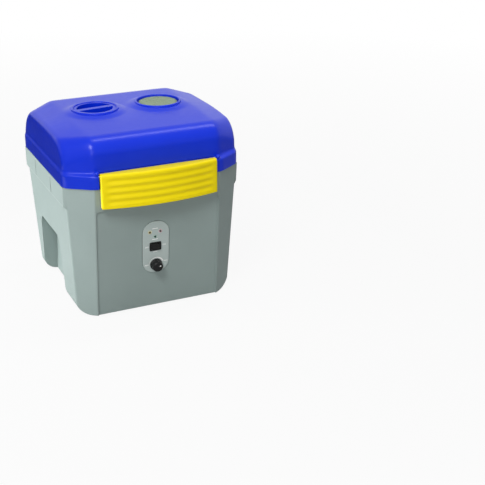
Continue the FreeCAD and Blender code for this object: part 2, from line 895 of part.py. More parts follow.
def underside():
    plate = centred_block(
        "Cover_plate_blank",
        ("cover_plate_width", "cover_plate_depth", "cover_plate_sheet"),
        ("0", "filter_y"),
        "ground_gap",
    )
    holes = []
    screws = []
    for index, (x, y) in enumerate(COVER_SCREW_SPOTS):
        bottom = "ground_gap - screw_head_height"
        holes.append(rod(
            f"Cover_hole_{index}", "screw_radius + running_gap", "2 * cover_plate_sheet",
            (x, y, "ground_gap - cover_plate_sheet / 2"),
        ))
        head = rod(f"Screw_head_{index}", "screw_head", "screw_head_height", (x, y, bottom))
        shank = rod(f"Screw_shank_{index}", "screw_radius", "screw_length", (x, y, "ground_gap"))
        screws.append(combined("MultiFuse", f"Screw_{index}", [head, shank]))
    drilled = combined("Cut", "Cover_plate", [plate, combined("MultiFuse", "Cover_holes", holes)])
    node("base_plate", drilled)
    node("base_screws", combined("Compound", "Base_screws", screws))
    feet = []
    for index, (x, y) in enumerate(FOOT_SPOTS):
        foot = doc.addObject("Part::Cone", f"Foot_{index}")
        bind(foot, "Radius1", "foot_radius - foot_taper")
        bind(foot, "Radius2", "foot_radius")
        bind(foot, "Height", "ground_gap")
        place(foot, x, y, "0")
        plug = rod(f"Foot_plug_{index}", "foot_radius", "foot_seat", (x, y, "ground_gap"))
        feet.append(combined("MultiFuse", f"Rubber_foot_{index}", [foot, plug]))
    node("rubber_feet", combined("Compound", "Rubber_feet", feet))


# Filter chamber
def filter_deck():
    body = new_body("Deck")
    plan = sketch(body, "deck_plan", "XY_Plane", DECK)
    outline(plan, octagon(
        f"({half_width(DECK)} - housing_wall - deck_gap)",
        f"({front_y(DECK)} + panel_depth + housing_wall + deck_gap)",
        f"({rear_y(DECK)} - housing_wall - deck_gap)",
        "housing_wall + deck_gap",
    ))
    pad(body, plan, "deck_thickness")
    eye = sketch(body, "deck_eye", "XY_Plane", DECK_TOP)
    circle(eye, "inlet_radius", "0", "filter_y")
    pocket(body, eye)
    notch = sketch(body, "deck_notch", "XY_Plane", DECK_TOP)
    rectangle(
        notch,
        "cover_width + 2 * deck_gap",
        "2 * (cover_depth + 4 * panel_depth)",
        "control_x",
        f"{front_y('control_z')} + panel_depth",
    )
    pocket(body, notch)
    node("filter_deck", body)


def filter_box():
    middle = ("0", "filter_y")
    frame_low = f"({DECK_TOP} + gasket_thickness)"
    frame_high = f"({frame_low} + frame_height)"
    outer = centred_block(
        "Frame_outer", ("filter_width", "filter_depth", "frame_height"), middle, frame_low
    )
    inner = centred_block(
        "Frame_inner",
        (
            "filter_width - 2 * frame_sheet",
            "filter_depth - 2 * frame_sheet",
            "frame_height - 2 * frame_sheet",
        ),
        middle,
        f"{frame_low} + frame_sheet",
    )
    window = centred_block(
        "Frame_window",
        ("filter_width - 2 * frame_flange", "filter_depth - 2 * frame_flange", "2 * frame_height"),
        middle,
        f"{frame_low} - frame_height / 2",
    )
    hollow = combined("MultiFuse", "Frame_hollow", [inner, window])
    node("filter_frame", combined("Cut", "Frame", [outer, hollow]))
    for label, bottom in (
        ("filter_gasket_lower", DECK_TOP),
        ("filter_gasket_upper", frame_high),
    ):
        strip = centred_block(
            f"{label}_strip", ("filter_width", "filter_depth", "gasket_thickness"), middle, bottom
        )
        hole = centred_block(
            f"{label}_hole",
            ("filter_width - 2 * gasket_width", "filter_depth - 2 * gasket_width", "3 * gasket_thickness"),
            middle,
            f"{bottom} - gasket_thickness",
        )
        node(label, combined("Cut", f"{label}_ring", [strip, hole]))
    node("prefilter", centred_block(
        "Prefilter",
        (
            "filter_width - 2 * prefilter_inset",
            "filter_depth - 2 * prefilter_inset",
            "prefilter_thickness",
        ),
        middle,
        f"{frame_high} + gasket_thickness",
    ))
    filter_media(f"({frame_low} + frame_sheet + media_gap)")


def filter_media(low):
    """Pleated paper pack: one V fold, repeated side by side."""
    body = new_body("Media")
    width = "(filter_width - 2 * frame_sheet - 2 * media_gap)"
    pitch = f"(({width} - pleat_sheet / 2) / pleat_count)"
    high = f"({low} + frame_height - 2 * frame_sheet - 2 * media_gap)"
    left = f"(-{width} / 2)"
    right = f"({left} + {pitch})"
    crest = f"({left} + {pitch} / 2)"
    fold = sketch(body, "pleat", "XZ_Plane", "-filter_y")
    outline(fold, [
        (left, low),
        (f"{left} + pleat_sheet", low),
        (crest, f"{high} - 3 * pleat_sheet"),
        (f"{right} - pleat_sheet / 2", low),
        (f"{right} + pleat_sheet / 2", low),
        (f"{crest} + pleat_sheet / 2", high),
        (f"{crest} - pleat_sheet / 2", high),
    ])
    one = pad(body, fold, "filter_depth - 2 * frame_sheet - 2 * media_gap", symmetric=True)
    row = body.newObject("PartDesign::LinearPattern", "pleat_row")
    row.Originals = [one]
    row.Direction = (origin_line(body, "X_Axis"), [""])
    row.Mode = "Spacing"
    bind(row, "Offset", pitch)
    bind(row, "Occurrences", "pleat_count")
    body.Tip = row
    doc.recompute()
    node("filter_media", body)


def lid_seal():
    body = new_body("Seal")
    plan = sketch(body, "seal_plan", "XY_Plane", "rim_height - seal_seat")
    outline(plan, mouth("seal_width - running_gap"))
    outline(plan, mouth())
    pad(body, plan, "seal_seat + rim_gap - seal_gap")
    node("lid_seal", body)


# Fan
FAN_ORIGIN = ("0", "filter_y")
FAN_LOW = "(fan_top - fan_height)"
MOUNT_TOP = "(ground_gap + cover_plate_sheet + mount_height)"
MOTOR_TOP = f"({MOUNT_TOP} + motor_height)"


def fan_body(name):
    return place(new_body(name), *FAN_ORIGIN, "0")


def inlet_ring():
    body = fan_body("Inlet_ring")
    profile = sketch(body, "inlet_profile", "XZ_Plane")
    throat = "(inlet_radius - inlet_sheet)"
    outline(profile, [
        (throat, f"{DECK} - inlet_drop"),
        ("inlet_radius", f"{DECK} - inlet_drop"),
        ("inlet_radius + inlet_sheet", f"{DECK} - inlet_sheet", "inlet_sheet"),
        ("inlet_flange", f"{DECK} - inlet_sheet"),
        ("inlet_flange", DECK),
        (throat, DECK),
    ])
    turned(body, "Revolution", profile)
    node("inlet_ring", body)


def fan_impeller():
    body = fan_body("Impeller")
    profile = sketch(body, "impeller_profile", "XZ_Plane")
    bore = "shaft_radius"
    outline(profile, [
        (bore, FAN_LOW),
        ("fan_radius", FAN_LOW),
        ("fan_radius", f"{FAN_LOW} + fan_sheet"),
        ("hub_radius + 2 * fan_sheet", f"{FAN_LOW} + fan_sheet", "2 * fan_sheet"),
        ("hub_radius", f"{FAN_LOW} + hub_height"),
        (bore, f"{FAN_LOW} + hub_height"),
    ])
    turned(body, "Revolution", profile)
    shroud = sketch(body, "shroud_profile", "XZ_Plane")
    outline(shroud, [
        ("fan_eye", "fan_top - 2 * fan_sheet"),
        ("fan_eye + fan_sheet", "fan_top - 2 * fan_sheet"),
        ("fan_radius", "fan_top - fan_shroud_drop"),
        ("fan_radius", "fan_top - fan_shroud_drop - fan_sheet"),
        ("fan_eye", "fan_top - 4 * fan_sheet"),
    ])
    turned(body, "Revolution", shroud)
    blade = sketch(body, "blade_plan", "XY_Plane", FAN_LOW)
    start = "(hub_radius + fan_eye) / 2"
    tip_x = "(fan_radius * cos(blade_lean) - 2 * fan_sheet)"
    tip_y = "(-fan_radius * sin(blade_lean) + 2 * fan_sheet)"
    outline(blade, [
        (start, "0"),
        (f"({start} + {tip_x}) / 2 + 4 * fan_sheet", f"{tip_y} / 2 + 2 * fan_sheet", "fan_radius / 2"),
        (tip_x, tip_y),
        (f"{tip_x} + fan_sheet", f"{tip_y} + fan_sheet"),
        (
            f"({start} + {tip_x}) / 2 + 5 * fan_sheet",
            f"{tip_y} / 2 + 3 * fan_sheet",
            "fan_radius / 2 + fan_sheet",
        ),
        (start, "fan_sheet * 1.4"),
    ])
    one = pad(body, blade, "fan_height - fan_shroud_drop")
    polar(body, one, "blade_count")
    node("fan_impeller", body)


def motor():
    body = fan_body("Motor")
    profile = sketch(body, "motor_profile", "XZ_Plane")
    bore = "shaft_radius + running_gap"
    outline(profile, [
        ("0", MOUNT_TOP),
        ("motor_radius", MOUNT_TOP),
        ("motor_radius", MOTOR_TOP, "fin_depth"),
        ("motor_cap_radius", MOTOR_TOP),
        ("motor_cap_radius - fin_depth", f"{MOTOR_TOP} + motor_cap_height"),
        (bore, f"{MOTOR_TOP} + motor_cap_height"),
        (bore, f"{MOTOR_TOP} - shaft_reach"),
        ("0", f"{MOTOR_TOP} - shaft_reach"),
    ])
    turned(body, "Revolution", profile)
    slot = sketch(body, "motor_slot", "XY_Plane", f"{MOTOR_TOP} - 3 * fin_depth")
    rectangle(slot, "2 * fin_depth", "fin_width", "motor_radius")
    one = pocket(body, slot, "motor_height - 6 * fin_depth")
    polar(body, one, "motor_fins")
    node("motor_body", body)

    hat = fan_body("Motor_mount")
    low = "(ground_gap + cover_plate_sheet)"
    profile = sketch(hat, "mount_profile", "XZ_Plane")
    outline(profile, [
        ("mount_top_radius + mount_height / 2", low),
        ("mount_radius", low),
        ("mount_radius", f"{low} + mount_sheet"),
        ("mount_top_radius + mount_height / 2 + mount_sheet", f"{low} + mount_sheet"),
        ("mount_top_radius + mount_sheet", MOUNT_TOP, "mount_sheet"),
        ("motor_cap_radius", MOUNT_TOP),
        ("motor_cap_radius", f"{MOUNT_TOP} - mount_sheet"),
        ("mount_top_radius", f"{MOUNT_TOP} - mount_sheet"),
    ])
    turned(hat, "Revolution", profile)
    node("motor_mount", hat)
    shaft_low = f"{MOTOR_TOP} - shaft_reach + running_gap"
    node("motor_shaft", rod(
        "Motor_shaft",
        "shaft_radius",
        f"{FAN_LOW} + hub_height - ({shaft_low})",
        (*FAN_ORIGIN, shaft_low),
    ))


# Hood
def lid_section(body, name, x, share, pull, base):
    """Upright section of the hood at one x, a share of the way from the crown's to the side's."""
    def mixed(crown, side):
        return f"({crown} + ({side} - {crown}) * {share})"

    front = f"({mixed('lid_front_setback', 'side_front_setback')} + {pull} - {REACH})"
    rear = f"({REACH} - {mixed('lid_rear_setback', 'side_rear_setback')} - {pull})"
    made = sketch(body, name, "YZ_Plane", x)
    outline(made, [
        (front, base),
        (rear, base),
        (
            rear,
            f"({mixed('lid_top', 'side_rear_top')} - {pull})",
            f"({mixed('rear_roll', 'side_rear_roll')} - {pull})",
        ),
        (f"(knee_setback - {REACH})", f"({mixed('lid_top', 'side_top')} - {pull})", "knee_roll"),
        (
            front,
            f"({mixed('lid_front_top', 'side_front_top')} - {pull})",
            f"({mixed('front_roll', 'side_front_roll')} - {pull})",
        ),
    ])
    return made


def lid_sections(body, name, wall, base):
    """Sections from the left side to the right: rolled side edges, soft creases, straight crown."""
    crease = "(crease_width / 2)"
    side = "(lid_side_width / 2)"
    run = f"({side} - {crease})"
    edge = f"(side_edge - {wall})"
    roll = f"({side} - side_edge)"
    half = [
        (f"({crease} - crease_blend)", "0", wall),
        (crease, f"(crease_blend / 4 / {run})", wall),
        (f"({crease} + crease_blend)", f"(crease_blend / {run})", wall),
        (roll, f"(1 - side_edge / {run})", wall),
        (
            f"({roll} + {edge} * sin(45))",
            f"(1 - (side_edge - {edge} * sin(45)) / {run})",
            f"({wall} + {edge} * (1 - cos(45)))",
        ),
        (f"({side} - {wall})", f"(1 - {wall} / {run})", f"({wall} + {edge})"),
    ]
    rows = [(-1, row) for row in reversed(half)] + [(1, row) for row in half]
    return [
        lid_section(body, f"{name}_{index}", f"{hand} * {x}", share, pull, base)
        for index, (hand, (x, share, pull)) in enumerate(rows)
    ]


def skirt_plan(body, name, z, inset):
    made = sketch(body, name, "XY_Plane", z)
    outline(made, octagon(
        f"(overall_width / 2 - {inset})",
        f"({SKIRT_FRONT} + {inset})",
        f"({REAR_TOP} - {inset})",
        inset,
        "skirt_round",
    ))
    return made


def port_profile(body, name, corners):
    made = sketch(body, name, "XZ_Plane", "-port_y", ("port_spacing / 2", "0"))
    outline(made, corners)
    return made


PORT_TOP = "(lid_top + port_height)"
PORT_SEAT = f"({PORT_TOP} - port_bore_depth)"


def lid_shell():
    body = new_body("Hood")
    loft(body, "Additive", lid_sections(body, "hood_outer", "0", LID_BASE))
    skirt_top = f"({LID_BASE} + skirt_height)"
    pad(body, skirt_plan(body, "skirt_low", LID_BASE, "0"), "skirt_height")
    loft(body, "Additive", [
        skirt_plan(body, "skirt_edge", skirt_top, "0"),
        skirt_plan(body, "skirt_fade", f"{skirt_top} + skirt_slope", "skirt_slope"),
    ])
    notch = sketch(body, "latch_notch", "XY_Plane", "latch_bottom")
    notch_width = "(latch_width + 2 * latch_side_gap)"
    rectangle(notch, notch_width, "lid_front_setback * 2", "0", f"{LID_FRONT} - lid_front_setback")
    pocket(body, notch, "latch_height + latch_side_gap", reverse=True)

    # Port collars stand on the crowned top before the hood is hollowed
    boss = port_profile(body, "port_boss", [
        ("port_ledge_bore", f"{PORT_SEAT} - port_boss_drop"),
        ("port_radius + port_flare", f"{PORT_SEAT} - port_boss_drop"),
        ("port_radius + port_flare", "lid_top - port_flare / 2"),
        ("port_radius", "lid_top", "port_flare / 2"),
        ("port_radius", f"{PORT_TOP} - port_lip"),
        ("port_radius - port_lip", PORT_TOP),
        ("port_ledge_bore", PORT_TOP),
    ])
    loft(body, "Subtractive", lid_sections(
        body, "hood_inner", "lid_wall", f"({LID_BASE} + lid_flange)"
    ))
    mirrored(body, [turned(body, "Revolution", boss)])
    bore = port_profile(body, "port_bores", [
        ("0", f"{PORT_SEAT} - 4 * port_boss_drop"),
        ("port_ledge_bore", f"{PORT_SEAT} - 4 * port_boss_drop"),
        ("port_ledge_bore", PORT_SEAT),
        ("port_bore", PORT_SEAT),
        ("port_bore", f"{PORT_TOP} + port_height"),
        ("0", f"{PORT_TOP} + port_height"),
    ])
    mirrored(body, [turned(body, "Groove", bore)])
    opening = sketch(body, "hood_mouth", "XY_Plane", f"{LID_BASE} + 2 * lid_flange")
    outline(opening, mouth())
    pocket(body, opening)

    # Hinge knuckles and latch pivot bores
    start = "(hinge_spacing / 2 - knuckle_width / 2)"
    barrel = sketch(body, "knuckle_round", "YZ_Plane", start)
    circle(barrel, "hinge_radius", HINGE_Y, HINGE_Z)
    knuckle = pad(body, barrel, "knuckle_width")
    web = sketch(body, "knuckle_web", "YZ_Plane", start)
    outline(web, [
        (f"{HINGE_Y} - hinge_block", LID_BASE),
        (f"{HINGE_Y} + hinge_radius", HINGE_Z),
        (f"{HINGE_Y} + hinge_radius", f"{HINGE_Z} + hinge_radius", "hinge_radius / 2"),
        (f"{HINGE_Y} - hinge_block", f"{HINGE_Z} + hinge_block"),
    ])
    stem = pad(body, web, "knuckle_width")
    eye = sketch(body, "knuckle_bore", "YZ_Plane", start)
    circle(eye, "hinge_pin_radius + running_gap", HINGE_Y, HINGE_Z)
    hole = pocket(body, eye, "knuckle_width", reverse=True)
    mirrored(body, [knuckle, stem, hole])
    pivot = sketch(body, "latch_pivot_bores", "YZ_Plane", "latch_width / 2")
    circle(pivot, "latch_rod_radius + running_gap", PIVOT_Y, PIVOT_Z)
    mirrored(body, [pocket(body, pivot, "latch_rod_overhang + latch_side_gap", reverse=True)])
    node("lid_shell", body)


def hinge_pins():
    pins = []
    for side in (-1, 1):
        start = f"{side} * hinge_spacing / 2 - hinge_width / 2"
        pins.append(rod(
            f"Hinge_pin_{side + 1}", "hinge_pin_radius", "hinge_width", (start, HINGE_Y, HINGE_Z), "X"
        ))
    node("hinge_pins", combined("Compound", "Hinge_pins", pins))


def port_fittings():
    seat = f"{PORT_SEAT} - screen_thickness"
    body = place(new_body("Screen"), "port_spacing / 2", "port_y", seat)
    disc = sketch(body, "screen_disc", "XY_Plane")
    circle(disc, "port_ledge_bore - running_gap")
    pad(body, disc, "screen_thickness")
    first = "(-screen_pitch * (screen_holes - 1) / 2)"
    gap = sketch(body, "screen_gap", "XY_Plane", "screen_thickness")
    rectangle(gap, "screen_hole", "screen_hole", first, first)
    one = pocket(body, gap)
    grid = body.newObject("PartDesign::LinearPattern", "screen_grid")
    grid.Originals = [one]
    grid.Direction = (origin_line(body, "X_Axis"), [""])
    grid.Direction2 = (origin_line(body, "Y_Axis"), [""])
    grid.Mode = "Spacing"
    grid.Mode2 = "Spacing"
    for prop, text in (("Offset", "screen_pitch"), ("Offset2", "screen_pitch"),
                       ("Occurrences", "screen_holes"), ("Occurrences2", "screen_holes")):
        bind(grid, prop, text)
    body.Tip = grid
    doc.recompute()
    node("port_screen", body)

    cap = place(new_body("Cap"), "-port_spacing / 2", "port_y", PORT_SEAT)
    profile = sketch(cap, "cap_profile", "XZ_Plane")
    top = "(port_bore_depth - cap_sink)"
    low = f"({top} - cap_depth)"
    outline(profile, [
        ("0", low),
        ("port_ledge_bore - cap_gap", low),
        ("port_ledge_bore - cap_gap", "0"),
        ("port_bore - cap_gap", "0"),
        ("port_bore - cap_gap", f"{top} - cap_wall / 3"),
        ("port_bore - cap_gap - cap_wall / 3", top),
        ("0", top),
    ])
    turned(cap, "Revolution", profile)
    well = "(port_ledge_bore - cap_gap - cap_wall)"
    wells = sketch(cap, "cap_wells", "XY_Plane", top)
    half_bar = "(cap_bar / 2)"
    edge = f"sqrt({well} * {well} - {half_bar} * {half_bar})"
    for side in (-1, 1):
        half_moon(wells, well, f"{side} * {half_bar}", edge, side)
    bind(wells, "AttachmentOffset.Rotation.Angle", "cap_bar_angle")
    pocket(cap, wells, "cap_depth - cap_wall")
    node("port_cap", cap)


def half_moon(made, radius, chord, edge, side):
    """Half disc beyond a chord at a height along the sketch's own Y."""
    height, reach = number(chord), number(edge)
    start, end = (V(reach, height, 0), V(-reach, height, 0))
    line = made.addGeometry(Part.LineSegment(start, end), False)
    lift = math.atan2(height, reach)
    angles = (lift, math.pi - lift) if side > 0 else (math.pi - lift, lift)
    curve = Part.ArcOfCircle(Part.Circle(V(), V(0, 0, 1), number(radius)), *angles)
    arc = made.addGeometry(curve, False)
    first, last = (1, 2) if side > 0 else (2, 1)
    made.addConstraint(Sketcher.Constraint("Coincident", line, 1, arc, first))
    made.addConstraint(Sketcher.Constraint("Coincident", line, 2, arc, last))
    pin_point(made, arc, 3, "0", "0")
    bind_radius(made, arc, radius)
    made.addConstraint(Sketcher.Constraint("Horizontal", line))
    index = made.addConstraint(Sketcher.Constraint("DistanceY", -1, 1, line, 1, height))
    bind(made, f"Constraints[{index}]", chord)


# Latch
BOW_RADIUS = "((latch_width * latch_width / 4 + latch_bow * latch_bow) / (2 * latch_bow))"
BOW_CENTRE = f"({BOW_RADIUS} - {REACH})"


def bowed_plan(body, name, z, half, back, inset):
    """Plan with a straight back and a front bowed on one arc, pulled in by a wall."""
    made = sketch(body, name, "XY_Plane", z)
    radius = f"({BOW_RADIUS} - {inset})"
    tip = f"({BOW_CENTRE} - sqrt({radius} * {radius} - ({half}) * ({half})))"
    half_value, back_value, tip_value = number(half), number(back), number(tip)
    spots = [V(-half_value, tip_value, 0), V(-half_value, back_value, 0),
             V(half_value, back_value, 0), V(half_value, tip_value, 0)]
    lines = [made.addGeometry(Part.LineSegment(a, b), False) for a, b in zip(spots, spots[1:])]
    middle = V(0, number(BOW_CENTRE) - number(radius), 0)
    arc = made.addGeometry(Part.Arc(spots[0], middle, spots[3]), False)
    for before, after in zip(lines, lines[1:]):
        made.addConstraint(Sketcher.Constraint("Coincident", before, 2, after, 1))
    made.addConstraint(Sketcher.Constraint("Coincident", lines[0], 1, arc, 1))
    made.addConstraint(Sketcher.Constraint("Coincident", lines[2], 2, arc, 2))
    pin_point(made, lines[0], 1, f"-({half})", tip)
    pin_point(made, lines[0], 2, f"-({half})", back)
    pin_point(made, lines[2], 1, half, back)
    pin_point(made, lines[2], 2, half, tip)
    bind_radius(made, arc, radius)
    return made


def latch_handle():
    body = new_body("Latch")
    half = "(latch_width / 2)"
    back = f"({FRONT_TOP} - latch_back_gap)"
    pad(body, bowed_plan(body, "latch_plan", "latch_bottom", half, back, "0"), "latch_height")
    front_edges = number(f"{back} - latch_end_wall")
    rounded(body, "latch_edge", lambda edge: edge.CenterOfMass.y < front_edges)

    # Hollow back, open below, with a finger lip along the bottom
    inner_half = "(latch_width / 2 - latch_end_wall)"
    hollow = bowed_plan(
        body, "latch_hollow", "latch_bottom + latch_wall", inner_half, f"({back} + latch_end_wall)", "latch_wall"
    )
    pocket(body, hollow, "latch_height - 2 * latch_wall", reverse=True)
    finger = bowed_plan(
        body, "latch_finger", "latch_bottom", inner_half, f"({back} + latch_end_wall)",
        "(latch_wall + latch_lip)"
    )
    pocket(body, finger, "2 * latch_wall", reverse=True)

    # Grip waves follow the bow, and the pivot barrel runs along the top
    waves = sketch(body, "grip_waves", "YZ_Plane", "0", (BOW_CENTRE, "0"))
    wave_radius = "((grip_width * grip_width / 4 + grip_depth * grip_depth) / (2 * grip_depth))"
    for index in range(SIZES["grip_count"]):
        lift = f"({index} - (grip_count - 1) / 2) * grip_pitch"
        circle(
            waves, wave_radius, f"-({BOW_RADIUS} + {wave_radius} - grip_depth)",
            f"latch_bottom + latch_height / 2 + {lift}",
        )
    turned(body, "Groove", waves, f"2 * asin((latch_width / 2 - grip_margin) / {BOW_RADIUS})")
    barrel = sketch(body, "latch_barrel_round", "YZ_Plane")
    circle(barrel, "latch_barrel", PIVOT_Y, PIVOT_Z)
    pad(body, barrel, "latch_width", symmetric=True)
    bore = sketch(body, "latch_bore", "YZ_Plane")
    circle(bore, "latch_rod_radius", PIVOT_Y, PIVOT_Z)
    pocket(body, bore, "latch_width * 1.1", symmetric=True)
    node("latch_handle", body)
    length = "(latch_width + 2 * latch_rod_overhang)"
    node("latch_rod", rod(
        "Latch_rod", "latch_rod_radius", length, (f"-{length} / 2", PIVOT_Y, PIVOT_Z), "X"
    ))


# Controls, each in the plate's own frame: X right, Y up the panel, Z out of the panel
LEDS = {
    "led_yellow": ("led_x - led_spread", "led_upper"),
    "led_red": ("led_x + led_spread", "led_upper"),
    "led_green": ("led_x", "led_lower"),
}
SWITCH_PIVOT = "(plate_thickness + bezel_thickness - rocker_pivot_radius - rocker_dip)"


def control_plate():
    body = on_control(new_body("Plate"))
    shape = sketch(body, "plate_outline", "XY_Plane")
    rectangle(shape, "plate_width", "plate_height", radius="plate_width / 2 - plate_thickness")
    pad(body, shape, "plate_thickness")
    top = number("plate_thickness")
    edge_finish(
        body, "Chamfer", "Size", "plate_thickness / 4",
        lambda edge: abs(edge.BoundBox.ZMin - top) < number("running_gap"),
    )
    holes = sketch(body, "plate_holes", "XY_Plane", "plate_thickness")
    for x, y in LEDS.values():
        circle(holes, "led_radius + led_fit", x, y)
    circle(holes, "pot_bush + led_fit", "0", "knob_y")
    rectangle(
        holes, "switch_width + 2 * switch_fit", "switch_height + 2 * switch_fit", "switch_x", "switch_y"
    )
    pocket(body, holes)
    node("control_plate", body)


def indicator_leds():
    for label, (x, y) in LEDS.items():
        body = on_control(new_body(label.title()))
        profile = sketch(body, f"{label}_profile", "XZ_Plane", f"-({y})", (x, "0"))
        outline(profile, [
            ("0", "-led_radius"),
            ("led_flange", "-led_radius"),
            ("led_flange", "0"),
            ("led_radius", "0"),
            ("led_radius", "plate_thickness + led_radius * 0.9", "led_radius * 0.85"),
            ("0", "plate_thickness + led_radius * 0.9"),
        ])
        turned(body, "Revolution", profile)
        node(label, body)


def power_switch():
    body = on_control(new_body("Switch"))
    bezel = sketch(body, "switch_bezel", "XY_Plane", "plate_thickness")
    rectangle(bezel, "bezel_width", "bezel_height", "switch_x", "switch_y", "bezel_thickness")
    pad(body, bezel, "bezel_thickness")
    case = sketch(body, "switch_case", "XY_Plane", "plate_thickness")
    rectangle(case, "switch_width", "switch_height", "switch_x", "switch_y")
    pad(body, case, "switch_depth", reverse=True)
    well = sketch(body, "switch_well", "XY_Plane", "plate_thickness + bezel_thickness")
    rectangle(
        well, "rocker_width + 2 * rocker_end_gap", "rocker_height + 2 * rocker_side_gap",
        "switch_x", "switch_y",
    )
    pocket(body, well, "bezel_thickness + rocker_floor")
    bore = sketch(body, "switch_bore", "XZ_Plane", "-switch_y", ("switch_x", "0"))
    circle(bore, "rocker_pivot_radius + running_gap", "0", SWITCH_PIVOT)
    pocket(body, bore, "rocker_height + 4 * rocker_side_gap", symmetric=True)
    node("switch_body", body)

    rocker = on_control(new_body("Rocker"))
    profile = sketch(rocker, "rocker_profile", "XZ_Plane", "-switch_y", ("switch_x", SWITCH_PIVOT))
    bind(profile, "AttachmentOffset.Rotation.Angle", "rocker_tilt")
    outline(profile, [
        ("-rocker_width / 2", "-rocker_pivot_radius"),
        ("0", "-2 * rocker_pivot_radius"),
        ("rocker_width / 2", "-rocker_pivot_radius"),
        ("rocker_width / 2", "rocker_rise", "rocker_dip / 2"),
        ("0", "rocker_rise - rocker_dip"),
        ("-rocker_width / 2", "rocker_rise", "rocker_dip / 2"),
    ])
    pad(rocker, profile, "rocker_height", symmetric=True)
    pin = sketch(rocker, "rocker_pivot", "XZ_Plane", "-switch_y", ("switch_x", "0"))
    circle(pin, "rocker_pivot_radius", "0", SWITCH_PIVOT)
    pad(rocker, pin, "rocker_height + 4 * rocker_side_gap", symmetric=True)
    node("power_rocker", rocker)


def speed_knob():
    base = "(plate_thickness + knob_lift)"
    top = f"({base} + knob_height)"
    on_shaft = ("0", "knob_y")
    pot = on_control(new_body("Speed_control"))
    case = sketch(pot, "pot_case", "XY_Plane")
    circle(case, "pot_radius", *on_shaft)
    pad(pot, case, "pot_depth", reverse=True)
    bush = sketch(pot, "pot_bush_round", "XY_Plane")
    circle(bush, "pot_bush", *on_shaft)
    pad(pot, bush, "plate_thickness")
    bore = sketch(pot, "pot_bore", "XY_Plane", "plate_thickness")
    circle(bore, "pot_shaft + running_gap", *on_shaft)
    pocket(pot, bore, "plate_thickness + shaft_in + running_gap")
    node("speed_control", pot)

    shaft = on_control(new_body("Knob_shaft"))
    spindle = sketch(shaft, "spindle", "XY_Plane", "-shaft_in")
    circle(spindle, "pot_shaft", *on_shaft)
    pad(shaft, spindle, "shaft_in + shaft_out")
    node("knob_shaft", shaft)

    knob = on_front(new_body("Knob"), "control_x", "control_z + knob_y * cos(%s)" % PANEL_TILT)
    profile = sketch(knob, "knob_profile", "XZ_Plane")
    outline(profile, [
        ("pot_shaft", base),
        ("knob_radius", base),
        ("knob_radius", f"{base} + knob_skirt * 0.7"),
        ("knob_grip_radius", f"{base} + knob_skirt"),
        ("knob_grip_radius * 0.95", f"{top} - knob_skirt / 3"),
        ("knob_grip_radius * 0.95 - knob_skirt / 3", top),
        ("0", top),
        ("0", "shaft_out"),
        ("pot_shaft", "shaft_out"),
    ])
    turned(knob, "Revolution", profile)
    flute = sketch(knob, "knob_flute", "XY_Plane", f"{top} + flute_radius")
    circle(flute, "flute_radius", "knob_grip_radius + flute_radius * 0.5")
    one = pocket(knob, flute, "knob_height - knob_skirt - flute_radius / 2")
    polar(knob, one, "knob_flutes")
    dot = sketch(knob, "pointer_seat", "XY_Plane", top)
    circle(dot, "pointer_radius", "pointer_reach")
    pocket(knob, dot, "pointer_depth")
    node("speed_knob", knob)
    mark = on_front(new_body("Pointer"), "control_x", "control_z + knob_y * cos(%s)" % PANEL_TILT)
    spot = sketch(mark, "pointer_dot", "XY_Plane", f"{top} - pointer_depth")
    circle(spot, "pointer_radius", "pointer_reach")
    pad(mark, spot, "pointer_depth")
    node("knob_pointer", mark)


def electronics():
    board = on_control(new_body("Board"))
    plan = sketch(board, "board_plan", "XY_Plane", "-board_depth")
    rectangle(plan, "board_width", "board_height")
    pad(board, plan, "board_thickness", reverse=True)
    node("control_board", board)
    posts = []
    for across in (-1, 1):
        for along in (-1, 1):
            post = on_control(new_body(f"Standoff_{across + 1}_{along + 1}"))
            spot = sketch(post, "standoff", "XY_Plane", "-board_depth")
            circle(
                spot,
                "standoff_radius",
                f"{across} * (board_width / 2 - standoff_inset)",
                f"{along} * (board_height / 2 - standoff_inset)",
            )
            pad(post, spot, "board_depth")
            posts.append(post)
    node("board_standoffs", combined("Compound", "Board_standoffs", posts))
    cover = on_control(new_body("Cover"))
    plan = sketch(cover, "cover_plan", "XY_Plane", "-housing_wall * 1.02")
    rectangle(plan, "cover_width", "cover_height")
    pad(cover, plan, "cover_depth", reverse=True)
    hollow = sketch(cover, "cover_hollow", "XY_Plane", "-housing_wall * 1.02")
    rectangle(hollow, "cover_width - 2 * cover_wall", "cover_height - 2 * cover_wall")
    pocket(cover, hollow, "cover_depth - cover_wall")
    node("electronics_cover", cover)


# Rear wall
def exhaust_grille():
    body = on_rear(new_body("Grille"), "grille_x", "grille_z")
    plan = sketch(body, "grille_plan", "XY_Plane")
    rectangle(plan, "grille_width", "grille_height", radius="grille_border / 2")
    pad(body, plan, "grille_thickness")
    slots = sketch(body, "grille_slots", "XY_Plane", "grille_thickness")
    for side in (-1, 1):
        rectangle(
            slots,
            "slot_width",
            "slot_height",
            f"{side} * (slot_width + slot_gap) / 2",
            "-slot_pitch * (slot_rows - 1) / 2",
        )
    one = pocket(body, slots)
    rows = body.newObject("PartDesign::LinearPattern", "grille_rows")
    rows.Originals = [one]
    rows.Direction = (origin_line(body, "Y_Axis"), [""])
    rows.Mode = "Spacing"
    bind(rows, "Offset", "slot_pitch")
    bind(rows, "Occurrences", "slot_rows")
    body.Tip = rows
    doc.recompute()
    node("exhaust_grille", body)


